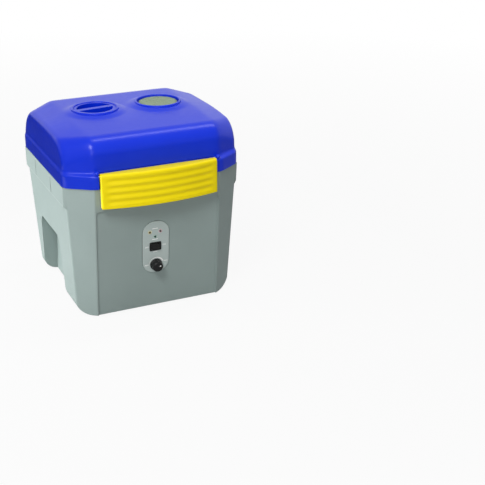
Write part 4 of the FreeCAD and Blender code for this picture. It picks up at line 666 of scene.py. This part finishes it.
# %% Guard in the open port
GUARD_RISE, GUARD_RADIUS, GUARD_WALL = 5.2, 43.6, 1.6
STRAND_PITCH, STRAND_WIDTH, STRAND_THICK = 3.6, 2.2, 1.0
UPPER_DROP, LOWER_DROP = 0.5, 0.7
seat, ledge = [corner.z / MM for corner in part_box("port_screen")]
sieve = ledge + GUARD_RISE
rim = [(GUARD_RADIUS, seat), (GUARD_RADIUS, sieve)]
rim += [(GUARD_RADIUS - GUARD_WALL, z) for _, z in reversed(rim)]
guard = bmesh.new()
lathe(guard, rim, *PORTS[1], COLLAR_TURNS)
strands = int((GUARD_RADIUS - GUARD_WALL) / STRAND_PITCH)
for strand in range(-strands, strands + 1):
    off = strand * STRAND_PITCH
    chord = 2 * math.sqrt((GUARD_RADIUS - GUARD_WALL / 2) ** 2 - off ** 2)
    for shift, size, drop in (
        ((0, off), (chord, STRAND_WIDTH), UPPER_DROP), ((off, 0), (STRAND_WIDTH, chord), LOWER_DROP),
    ):
        middle = (PORTS[1][0] + shift[0], PORTS[1][1] + shift[1], sieve - drop * STRAND_THICK)
        scale = Matrix.Diagonal((size[0] * MM, size[1] * MM, STRAND_THICK * MM, 1))
        bmesh.ops.create_cube(guard, matrix=Matrix.Translation(Vector(middle) * MM) @ scale)
face_outwards(guard)
guard_piece = new_piece("port_guard", guard, screen_plastic)
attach(guard_piece, "lid")
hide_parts("port_screen")
print("Guard rises", GUARD_RISE, "mm above its ledge")

# %% [markdown]
# ## Plug
# The plug in the other port is round and can be put in at any angle. Here its grip bar lies almost
# square to the front. The CAD node itself is never moved, so a copy of its mesh, turned about the port's
# axis, takes its place.

# %% Plug, turned in its port
PLUG_TURN = -24.0
axis = Matrix.Translation(Vector((*PORTS[0], 0.0)) * MM)
plug = bmesh.new()
plug.from_mesh(nodes["port_cap"].data)
plug.transform(
    axis @ Matrix.Rotation(math.radians(PLUG_TURN), 4, "Z") @ axis.inverted()
    @ nodes["port_cap"].matrix_world
)
plug_piece = new_piece("port_plug", plug, blue_abs)
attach(plug_piece, "plug")
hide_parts("port_cap")
print("Plug turned by", PLUG_TURN, "degrees")

# %% [markdown]
# ## Latch lugs and hinge knuckles
# A small rounded lug on the hood holds each end of the latch rod. The two hinge knuckles at the rear are
# short thick webs with a round end for the pin. They could be part of the hood's field, but the net of
# rays is too wide for such small forms. A flattened ball and a prism are enough.

# %% Lugs at the ends of the latch rod
LUG_SPOT, LUG_SIZE = (138.0, -184.0, 348.0), (5.0, 4.2, 5.0)
LUG_SEGMENTS, LUG_RINGS = 24, 14
lugs = bmesh.new()
for side in (-1, 1):
    spot = Matrix.Translation(Vector((side * LUG_SPOT[0], *LUG_SPOT[1:])) * MM)
    bmesh.ops.create_uvsphere(
        lugs, u_segments=LUG_SEGMENTS, v_segments=LUG_RINGS, radius=MM,
        matrix=spot @ Matrix.Diagonal((*LUG_SIZE, 1)),
    )
lug_piece = new_piece("latch_lugs", lugs, blue_abs)
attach(lug_piece, "lid")
print("Lug size:", LUG_SIZE, "mm")

# %% Hinge knuckles
HINGE_Y, HINGE_Z, HINGE_RADIUS = 204.5, 313.9, 5.5
KNUCKLE_X, KNUCKLE_WIDTH = 95.0, 20.0
WEB_ROOT, WEB_HEIGHT, WEB_FOOT = 194.5, 16.0, 0.4
SHOULDER_BACK, SHOULDER_RISE = 3.0, 2.5
ROUND_END = range(-60, 181, 15)
outline = []
for degrees in ROUND_END:
    swing = math.radians(degrees)
    outline.append((HINGE_Y + HINGE_RADIUS * math.sin(swing), HINGE_Z - HINGE_RADIUS * math.cos(swing)))
outline += [
    (HINGE_Y - SHOULDER_BACK, HINGE_Z + HINGE_RADIUS + SHOULDER_RISE),
    (WEB_ROOT, HINGE_Z + WEB_HEIGHT), (WEB_ROOT, RIM + WEB_FOOT),
]
knuckles = bmesh.new()
for side in (-1, 1):
    prism(knuckles, *(
        [Vector((side * KNUCKLE_X + reach * KNUCKLE_WIDTH, y, z)) * MM for y, z in outline]
        for reach in (-0.5, 0.5)
    ))
face_outwards(knuckles)
knuckle_piece = new_piece("hinge_knuckles", knuckles, blue_abs)
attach(knuckle_piece, "lid")
print("Knuckle width:", KNUCKLE_WIDTH, "mm")

# %% [markdown]
# ## Latch
# The latch is a bowed yellow moulding that hooks over a steel rod along its top and hangs in front of
# the tub. Four soft waves give the fingers a grip and fade out before the ends. A curve with a bevel
# shape could sweep it, but then the waves could not fade. So one upright profile, hollow at the back,
# is repeated along the bow, and the wave depth is a function of where on the bow the profile stands.

# %% Latch profile, in millimetres
LATCH_HALF, LATCH_LOW, LATCH_HIGH = 132.4, 270.0, 347.0
BOW_RADIUS, BOW_CENTRE = 524.9, 314.95
BACK, LATCH_WALL, CHEEK = -184.2, 3.5, 3.5
TOP_ROLL, LIP, LIP_SOFT, HEEL = 6.0, 1.2, 0.3, 0.4
ROD_Y, ROD_Z, BARREL, BARREL_GAP = -183.0, 340.5, 6.4, 1.0
BACK_DROPS = (0.0, 2.0, 20.0, 40.0, 58.0)
WAVE_MIDDLE, WAVE_PITCH, WAVE_COUNT, WAVE_DEPTH = 308.0, 15.5, 4, 2.6
WAVE_FADE = (128.0, 108.0)
WAVE_ROWS, ROLL_STEPS = 52, 8


def wave(x, z):
    """How far the grip sinks in at this place."""
    along = (z - WAVE_MIDDLE) / WAVE_PITCH + WAVE_COUNT / 2
    if not 0 < along < WAVE_COUNT:
        return 0.0
    fade = min(1.0, max(0.0, (WAVE_FADE[0] - abs(x)) / (WAVE_FADE[0] - WAVE_FADE[1])))
    return WAVE_DEPTH * 0.5 * (1 - math.cos(2 * math.pi * along)) * fade * fade * (3 - 2 * fade)


def latch_profile(x, inset, solid):
    """Closed profile at one x: up the front, over the top, round the rod and down the back."""
    face = BOW_CENTRE - math.sqrt(BOW_RADIUS ** 2 - x ** 2) + inset
    low, high = LATCH_LOW + inset, LATCH_HIGH - inset
    points = [(face + LIP, low), (face + LIP_SOFT * LIP, low + LIP_SOFT * LIP)]
    for row in range(WAVE_ROWS + 1):
        z = low + LIP + (high - TOP_ROLL - low - LIP) * row / WAVE_ROWS
        points.append((face + wave(x, z), z))
    for step in range(1, ROLL_STEPS + 1):
        angle = math.pi / 2 * step / ROLL_STEPS
        points.append((
            face + TOP_ROLL * (1 - math.cos(angle)), high - TOP_ROLL * (1 - math.sin(angle))
        ))
    for step in range(1, 2 * ROLL_STEPS + 1):
        angle = math.pi / 2 - math.pi * step / (2 * ROLL_STEPS)
        points.append((
            ROD_Y + (BARREL - inset) * math.cos(angle), ROD_Z + (BARREL - inset) * math.sin(angle)
        ))
    inner = BACK if solid else face + LATCH_WALL
    points += [(inner, ROD_Z - BARREL - BARREL_GAP - drop) for drop in BACK_DROPS]
    return points + [(inner, low + HEEL), (inner - HEEL, low)]


print("Points in the latch profile:", len(latch_profile(0.0, 0.0, False)))

# %% Latch body
STATIONS = 81
# Millimetres in from the latch's end, and how much smaller the profile is there
END_ROUND = ((0.0, 1.4), (0.4, 0.5), (1.4, 0.0), (CHEEK, 0.0))
cheeks = [(LATCH_HALF - away, inset) for away, inset in END_ROUND]
profiles = [(-x, inset, True) for x, inset in cheeks]
profiles += [(x, 0.0, False) for x in np.linspace(-(LATCH_HALF - CHEEK), LATCH_HALF - CHEEK, STATIONS)]
profiles += [(x, inset, True) for x, inset in reversed(cheeks)]
latch_shape = bmesh.new()
rings = [
    [latch_shape.verts.new(Vector((x, y, z)) * MM) for y, z in latch_profile(x, inset, solid)]
    for x, inset, solid in profiles
]
skin(latch_shape, rings)
latch_shape.faces.new(rings[0][::-1])
latch_shape.faces.new(rings[-1])
face_outwards(latch_shape)
latch_piece = new_piece("latch_moulding", latch_shape, yellow_abs)
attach(latch_piece, "latch")
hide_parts("latch_handle")
print("Latch faces:", len(latch_piece.data.polygons))

# %% [markdown]
# ## Slits in the side collars
# Two narrow slits in each collar open into the hollow wall, so they lie in shade right to the bottom.
# The solid's own groove is shallow and catches light. Its mesh stays as it is, so a thin black blade,
# almost level with the collar's face, is painted shade for that dark depth.

# %% Slit blades of painted shade
SLIT_SPOTS, SLIT_LOW, SLIT_HIGH = (-41.0, 86.0), 269.4, 305.6
SLIT_FLOOR, SLIT_FACE, SLIT_HALF = 198.4, 202.3, 1.49
SLIT_PLAN = (
    (SLIT_FLOOR, -SLIT_HALF), (SLIT_FACE, -SLIT_HALF), (SLIT_FACE, SLIT_HALF), (SLIT_FLOOR, SLIT_HALF)
)
blades = bmesh.new()
for side in (-1, 1):
    for spot in SLIT_SPOTS:
        prism(blades, *(
            [Vector((side * x, spot + y, z)) * MM for x, y in SLIT_PLAN] for z in (SLIT_LOW, SLIT_HIGH)
        ))
face_outwards(blades)
# Black blades: painted shade in the depth of each slit
slit_painted_shade = new_piece("collar_slit_painted_shade", blades, black_abs)
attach(slit_painted_shade, "housing")
print("Slit blades:", len(SLIT_SPOTS) * 2)

# %% [markdown]
# ## Beads under the side collars
# The lower edge of each collar is rounded and catches a line of light. A bevel would change the solid's
# mesh. A slim bead, sunk into the collar's lower chamfer, rounds the edge without that, and its paler
# colour is a painted highlight along it.

# %% Collar beads
BEAD_X, BEAD_Z, BEAD_RADIUS, BEAD_TURNS = 200.85, 268.2, 1.6, 16
BEAD_FRONT, BEAD_REAR = -136.0, 171.0
# The tub's plastic, paler: a painted highlight along the collar's lower edge
bead_highlight_abs = moulded_plastic(
    "grey_ABS_painted_highlight", "#A6B3AE", "#B0BDB8", 1.1, 0.06, 0.40, "#C2CCC8", shine=0.5
)
along_y = Matrix.Rotation(math.pi / 2, 4, "X")
beads = bmesh.new()
for side in (-1, 1):
    middle = Vector((side * BEAD_X, (BEAD_FRONT + BEAD_REAR) / 2, BEAD_Z)) * MM
    bmesh.ops.create_cone(
        beads, cap_ends=True, segments=BEAD_TURNS, radius1=BEAD_RADIUS * MM, radius2=BEAD_RADIUS * MM,
        depth=(BEAD_REAR - BEAD_FRONT) * MM, matrix=Matrix.Translation(middle) @ along_y,
    )
bead_piece = new_piece("collar_beads", beads, bead_highlight_abs)
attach(bead_piece, "housing")
print("Beads:", BEAD_REAR - BEAD_FRONT, "mm long")

# %% [markdown]
# ## Pre-filter mat
# The mat is a loose piece of bonded fleece that lies on top of the filter and covers it. It has no
# stiff edges: the cut rim is thinner and rounded, and the top rises and dips by a millimetre. A cloth
# simulation could drape it, but a loose mat on a flat filter has no folds to find. So it is one closed
# mesh, a grid for each face with the rim pinched between them.

# %% Pre-filter mat
MAT_COLUMNS, MAT_ROWS = 44, 36
RIM_FULL, MAT_FULL = 0.35, 0.86
RIPPLE, RIPPLE_WIDE, RIPPLE_SLANT, RIPPLE_DEEP = 0.08, 9, 2, 7
NEVER_SHARP = 180.0


def mat_height(u, v):
    """Height of the top as a share of the mat's space, u and v running from 0 to 1."""
    rim = min(u, 1 - u, v, 1 - v) * MAT_COLUMNS / 2
    full = min(1.0, RIM_FULL + (1 - RIM_FULL) * math.sin(min(1.0, rim) * math.pi / 2))
    ripple = math.sin(RIPPLE_WIDE * u + RIPPLE_SLANT * v) * math.sin(RIPPLE_DEEP * v - u)
    return MAT_FULL * full * (1 + RIPPLE * ripple)


def soft_mat(name, low, high, finish):
    """Closed mesh of a flat underside and a rippled top between two corners."""
    shape = bmesh.new()
    size = high - low
    sheets = []
    for top in (False, True):
        sheet = []
        for row in range(MAT_ROWS + 1):
            v = row / MAT_ROWS
            line = []
            for column in range(MAT_COLUMNS + 1):
                u = column / MAT_COLUMNS
                rise = mat_height(u, v) if top else 0.0
                line.append(shape.verts.new(low + Vector((size.x * u, size.y * v, size.z * rise))))
            sheet.append(line)
        for line, after in zip(sheet, sheet[1:]):
            for column in range(MAT_COLUMNS):
                ring = [line[column], line[column + 1], after[column + 1], after[column]]
                shape.faces.new(ring if top else ring[::-1])
        sheets.append(sheet)
    border = [(0, c) for c in range(MAT_COLUMNS)] + [(r, MAT_COLUMNS) for r in range(MAT_ROWS)]
    border += [(MAT_ROWS, c) for c in range(MAT_COLUMNS, 0, -1)]
    border += [(r, 0) for r in range(MAT_ROWS, 0, -1)]
    skin(shape, [[sheet[row][column] for row, column in border] for sheet in sheets])
    return new_piece(name, shape, finish, NEVER_SHARP)


mat = soft_mat("fleece_mat", *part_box("prefilter"), fleece)
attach(mat, "housing")
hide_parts("prefilter")
print("Mat:", [round(size, 3) for size in mat.dimensions])

# %% [markdown]
# ## Printed marks on the control plate
# The plate is printed in white: a wedge that grows with the speed around the knob, OFF and ON beside
# the rocker, MIN and MAX by the knob, and short bars by the lamps and the rocker. Each lamp has a ring
# in a pale tint of its own colour, and the knob has a white dot that turns with it. A picture laid on
# the plate would blur close up. Print has almost no thickness, so each mark is a very thin solid lying
# on the plate. The knob's joint gives the direction the plate looks in, and the rocker's joint gives
# the direction that is up on it.

# %% Plate frame
PRINT_LIFT = 0.06 * MM
normal = Vector(joints["knob_turn"]["axis"])
up = Vector(joints["rocker_tilt"]["axis"])
right = up.cross(normal).normalized()
knob_centre = joints["knob_turn"]["pos_m"]
rocker_centre = joints["rocker_tilt"]["pos_m"]


def front_level(name):
    """How far a solid reaches along the plate's normal."""
    return max(Vector(vertex.co).dot(normal) for vertex in nodes[name].data.vertices)


def at_level(spot, level):
    """The point moved along the plate's normal to this level."""
    return spot + normal * (level - spot.dot(normal))


plate_face = front_level("control_plate")


def on_plate(centre, x, y):
    """Point on the plate's face, x to the right and y up from the point in front of a joint."""
    return at_level(Vector(centre) + right * x + up * y, plate_face + PRINT_LIFT)


def print_patch(name, outline, finish):
    """Flat print with this outline of points on the plate's face."""
    shape = bmesh.new()
    prism(shape, [point - normal * PRINT_LIFT for point in outline], outline)
    face_outwards(shape)
    made = new_piece(name, shape, finish)
    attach(made, "housing")


print("Plate looks along", [round(value, 3) for value in normal])

# %% Speed wedge around the knob
WEDGE_START, WEDGE_END = 190.0, 20.0
WEDGE_REACH, WEDGE_WIDTHS = 15.6, (0.4, 3.4)
ARC_PARTS = 40


def arc_patch(name, centre, start, end, inside, widths, finish):
    """Printed arc; its width grows from the first to the second value."""
    inner, outer = [], []
    for step in range(ARC_PARTS + 1):
        share = step / ARC_PARTS
        angle = math.radians(start + (end - start) * share)
        aim = (math.cos(angle), math.sin(angle))
        reach = inside * MM
        far = reach + (widths[0] + (widths[1] - widths[0]) * share) * MM
        inner.append(on_plate(centre, reach * aim[0], reach * aim[1]))
        outer.append(on_plate(centre, far * aim[0], far * aim[1]))
    print_patch(name, inner + outer[::-1], finish)


arc_patch("speed_wedge", knob_centre, WEDGE_START, WEDGE_END, WEDGE_REACH, WEDGE_WIDTHS, white_inlay)
print("Wedge from", WEDGE_START, "to", WEDGE_END, "degrees")

# %% White dot on the knob
DOT_SPOT, DOT_RADIUS, DOT_LIFT, DOT_STEPS = (5.0, 2.0), 1.7, 0.15, 24
knob_face = front_level("speed_knob")
dot_middle = Vector(knob_centre) + right * DOT_SPOT[0] * MM + up * DOT_SPOT[1] * MM
turns = [2 * math.pi * step / DOT_STEPS for step in range(DOT_STEPS)]
dot = bmesh.new()
prism(dot, *(
    [
        at_level(dot_middle, knob_face + lift * MM)
        + (right * math.cos(turn) + up * math.sin(turn)) * DOT_RADIUS * MM
        for turn in turns
    ]
    for lift in (-DOT_LIFT, DOT_LIFT)
))
dot_piece = new_piece("knob_dot", dot, white_inlay)
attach(dot_piece, "knob")
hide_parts("knob_pointer")
print("Dot radius:", DOT_RADIUS, "mm")

# %% Words beside the rocker and the knob
BOLDNESS = 0.02
# Name, word, the joint it stands by, millimetres to the right and up, and letter height
WORDS = (
    ("mark_off", "OFF", rocker_centre, -20.0, -0.5, 5.2),
    ("mark_on", "ON", rocker_centre, 20.6, 0.5, 5.2),
    ("mark_min", "MIN", knob_centre, -22.0, 0.0, 5.2),
    ("mark_max", "MAX", knob_centre, 23.0, 5.0, 4.6),
)
plate_turn = Matrix((right, up, normal)).transposed().to_4x4()
for name, word, centre, x, y, height in WORDS:
    letters = bpy.data.curves.new(name, "FONT")
    letters.body = word
    letters.size = height * MM
    letters.align_x = "CENTER"
    letters.align_y = "CENTER"
    letters.extrude = PRINT_LIFT / 2
    letters.offset = BOLDNESS * height * MM
    letters.materials.append(white_inlay)
    made = bpy.data.objects.new(name, letters)
    made.matrix_world = Matrix.Translation(on_plate(centre, x * MM, y * MM)) @ plate_turn
    bpy.context.scene.collection.objects.link(made)
    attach(made, "housing")
print("Words:", [row[1] for row in WORDS])

# %% Rings and bars by the lamps
def print_finish(name, shade, tint):
    """Screen-printed ink: thin, matt and slightly uneven. The gap line also uses it for a painted shadow.
    """
    return moulded_plastic(name, shade, tint, 0.8, 0.02, 0.45, tint)


LAMPS = {
    "led_yellow": print_finish("pale_yellow_print", "#D9D6AE", "#E3E0BC"),
    "led_red": print_finish("pale_red_print", "#CDB3B6", "#D8C0C2"),
    "led_green": print_finish("pale_green_print", "#A9C4BA", "#B5CEC4"),
}
RING_END, RING_INSIDE, RING_WIDTH = 356.0, 3.0, 1.7
middles = {}
for name, ink in LAMPS.items():
    low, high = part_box(name)
    middles[name] = (low + high) / 2
    arc_patch(f"ring_{name}", middles[name], 0.0, RING_END, RING_INSIDE, (RING_WIDTH, RING_WIDTH), ink)

# Name, the point it stands by, millimetres up, length and height
BARS = (
    ("bar_lamps", (middles["led_yellow"] + middles["led_red"]) / 2, 8.0, 13.0, 1.8),
    ("bar_green", middles["led_green"], -6.6, 13.0, 1.8),
    ("bar_switch", Vector(rocker_centre), -14.0, 10.0, 1.6),
)
for name, middle, y, length, height in BARS:
    print_patch(name, [
        on_plate(middle, across * length / 2 * MM, (y + along * height / 2) * MM)
        for across, along in ((-1, -1), (1, -1), (1, 1), (-1, 1))
    ], white_inlay)
print("Rings and bars:", len(LAMPS), len(BARS))

# %% [markdown]
# ## Gap line round the control plate
# The plate sits in a shallow step of the panel, and the step's shade reads as a thin dark line round it.
# A real groove would have to be cut into the tub, whose mesh stays as it is. A flat dark ribbon that
# follows the plate's stadium outline is a painted shadow of that step, the same from any side.

# %% Gap line
END_RADIUS, STRAIGHT_HALF, PLATE_STAND = 31.0, 33.0, 2.2
# Millimetres out from the plate's edge and up from the panel
LINE_PROFILE = ((-0.3, -0.3), (-0.3, 0.35), (1.1, 0.15), (1.1, -0.3))
END_STEPS = 28
plate_low, plate_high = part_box("control_plate")
plate_middle = (plate_low + plate_high) / 2
panel_level = plate_face - PLATE_STAND * MM
ribbon = bmesh.new()
rings = [[] for _ in LINE_PROFILE]
for half in (1, -1):
    foot = plate_middle + up * half * STRAIGHT_HALF * MM
    for step in range(END_STEPS + 1):
        angle = math.pi * step / END_STEPS + (0 if half == 1 else math.pi)
        aim = right * math.cos(angle) + up * math.sin(angle)
        for ring, (out, lift) in zip(rings, LINE_PROFILE):
            spot = foot + aim * (END_RADIUS + out) * MM
            ring.append(ribbon.verts.new(at_level(spot, panel_level + lift * MM)))
skin(ribbon, rings + rings[:1])
face_outwards(ribbon)
# Dark grey ribbon: a painted shadow of the plate's step
gap_line = new_piece("plate_gap_line", ribbon, print_finish("painted_step_shadow", "#565F5D", "#606A67"))
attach(gap_line, "housing")
print("Gap line points:", len(rings[0]))

# %% [markdown]
# ## Studio
# The machine stands on a pale floor in a white room, lit softly from above and from the left. The world
# is white to the camera and to reflections, and dimmer as a light source, which keeps the colours at the
# level they are written. A curved backdrop could hide the horizon too, but only from one side. This
# floor turns white far out, so that it meets the world without a line, and it is clear from below.

# %% Floor
WHITE = linear("#FFFFFF")
FLOOR_REACH, FLOOR_HEIGHT = 6.0, -0.0005
FLOOR_NEAR, FLOOR_FAR, FLOOR_GLOW = 0.8, 3.0, 0.92


def studio_sheet(name, low, high, height, finish):
    """Flat rectangle between two corners."""
    mesh = bpy.data.meshes.new(name)
    plan = (low, (high[0], low[1]), high, (low[0], high[1]))
    mesh.from_pydata([(x, y, height) for x, y in plan], [], [(0, 1, 2, 3)])
    mesh.materials.append(finish)
    made = bpy.data.objects.new(name, mesh)
    bpy.context.scene.collection.objects.link(made)
    return made


# Matt paper that shows a soft shadow and no shine
paper, tree, shader = new_finish("pale_studio_paper", Base_Color=linear("#BCBCBC"), Roughness=0.95)
path = add_node(tree, "ShaderNodeLightPath")
glow = add_node(tree, "ShaderNodeEmission", {"Color": WHITE, "Strength": 1.0})
place = add_node(tree, "ShaderNodeTexCoord").outputs["Object"]
far = add_node(tree, "ShaderNodeVectorMath", None, {0: place}, operation="LENGTH")
fade = add_node(
    tree, "ShaderNodeMapRange",
    {"From Min": FLOOR_NEAR, "From Max": FLOOR_FAR, "To Min": FLOOR_GLOW, "To Max": 1.0},
    {"Value": far.outputs["Value"]},
)
seen = add_node(
    tree, "ShaderNodeMath", None,
    {0: path.outputs["Is Camera Ray"], 1: fade.outputs["Result"]}, operation="MULTIPLY",
)
blend = add_node(
    tree, "ShaderNodeMixShader", None,
    {0: seen.outputs["Value"], 1: shader.outputs["BSDF"], 2: glow.outputs["Emission"]},
)
below = add_node(tree, "ShaderNodeNewGeometry").outputs["Backfacing"]
clear = add_node(tree, "ShaderNodeBsdfTransparent", {"Color": WHITE})
sheet = add_node(
    tree, "ShaderNodeMixShader", None,
    {0: below, 1: blend.outputs["Shader"], 2: clear.outputs["BSDF"]},
)
tree.links.new(sheet.outputs["Shader"], tree.nodes["Material Output"].inputs["Surface"])
floor = studio_sheet(
    "studio_floor", (-FLOOR_REACH, -FLOOR_REACH), (FLOOR_REACH, FLOOR_REACH), FLOOR_HEIGHT, paper
)
print("Floor:", 2 * FLOOR_REACH, "m wide")

# %% World
ROOM_LIGHT = 0.25
world = bpy.data.worlds.new("white_room")
bpy.context.scene.world = world
world.use_nodes = True
tree = world.node_tree
path = add_node(tree, "ShaderNodeLightPath")
shown = path.outputs["Is Camera Ray"]
for kind in ("Is Glossy Ray", "Is Transmission Ray"):
    shown = add_node(
        tree, "ShaderNodeMath", None, {0: shown, 1: path.outputs[kind]}, operation="MAXIMUM"
    ).outputs["Value"]
strength = add_node(
    tree, "ShaderNodeMapRange", {"To Min": ROOM_LIGHT, "To Max": 1.0}, {"Value": shown}
)
tree.links.new(strength.outputs["Result"], tree.nodes["Background"].inputs["Strength"])
tree.nodes["Background"].inputs["Color"].default_value = WHITE
print("Room light:", ROOM_LIGHT)

# %% [markdown]
# ## Lamps
# A large key softbox stands in front on the left, and a weaker one fills the front. A long strip above
# draws the line of light along the hood's front roll. A low softbox lifts the tub's left side, as light
# thrown back by a white table does. A flag keeps that light off the hood, and a black card on the table
# is what the hood's left side mirrors, so that this side stays deep blue. One bare lamp would be simpler,
# but its hard shadow would hide the soft forms.

# %% Lamps
def softbox(name, spot, aim, size, watts, length=None):
    """Area lamp that the camera does not see, placed and sized in metres."""
    lamp = bpy.data.lights.new(name, "AREA")
    lamp.shape = "RECTANGLE"
    lamp.size = size
    lamp.size_y = length or size
    lamp.energy = watts
    made = bpy.data.objects.new(name, lamp)
    made.location = spot
    made.rotation_euler = (Vector(aim) - Vector(spot)).to_track_quat("-Z", "Y").to_euler()
    made.visible_camera = False
    bpy.context.scene.collection.objects.link(made)
    return made


HEART, LEFT_SIDE = (0.0, 0.0, 0.25), (0.0, 0.05, 0.10)
softbox("key_softbox", (-1.2, -1.55, 2.3), HEART, 0.9, 45)
low_left = softbox("low_left_softbox", (-1.15, 0.2, 0.12), LEFT_SIDE, 0.5, 16.0)
softbox("front_softbox", (-1.1, -2.6, 1.0), HEART, 1.2, 12)
softbox("top_strip", (0.8, 0.05, 2.3), HEART, 0.26, 15, length=1.6)
print("Lamps:", len(bpy.data.lights))

# %% Flag that keeps the low light off the hood
flagged = bpy.data.collections.new("flagged_from_low_left")
for piece in (hood, collar_piece, knuckle_piece, lug_piece, plug_piece):
    flagged.objects.link(piece)
low_left.light_linking.receiver_collection = flagged
for member in flagged.collection_objects:
    member.light_linking.link_state = "EXCLUDE"

# %% Black card on the table
CARD_LOW, CARD_HIGH, CARD_HEIGHT = (-4.0, 0.30), (-0.30, 5.5), 0.002
# Black that gives almost no light back
felt = soft_finish("black_card_felt", "#050505", "#0B0B0B", 2.0, 0.2, 0.95, 0.0)
card = studio_sheet("black_card", CARD_LOW, CARD_HIGH, CARD_HEIGHT, felt)
card.visible_camera = False
card.visible_diffuse = False
card.visible_shadow = False
print("Card seen by reflections only:", card.visible_glossy)

# %% [markdown]
# ## Camera
# The photograph was taken from the left of the front and from above. The view could be set by eye, but
# the lens, the place and the direction were worked out from the machine's own straight edges, so that
# the picture can be laid over the photograph.

# %% Camera and view
EYE, GAZE = (-0.7330, -2.2000, 1.0758), (0.3856, 0.8358, -0.3907)
LENS, SENSOR = 78.16, 36.0
camera_data = bpy.data.cameras.new("product_camera")
camera_data.lens = LENS
camera_data.sensor_width = SENSOR
camera = bpy.data.objects.new("product_camera", camera_data)
camera.location = EYE
camera.rotation_euler = Vector(GAZE).to_track_quat("-Z", "Y").to_euler()
bpy.context.scene.collection.objects.link(camera)
bpy.context.scene.camera = camera
bpy.context.scene.view_settings.view_transform = "Standard"
print("Lens:", LENS, "mm")
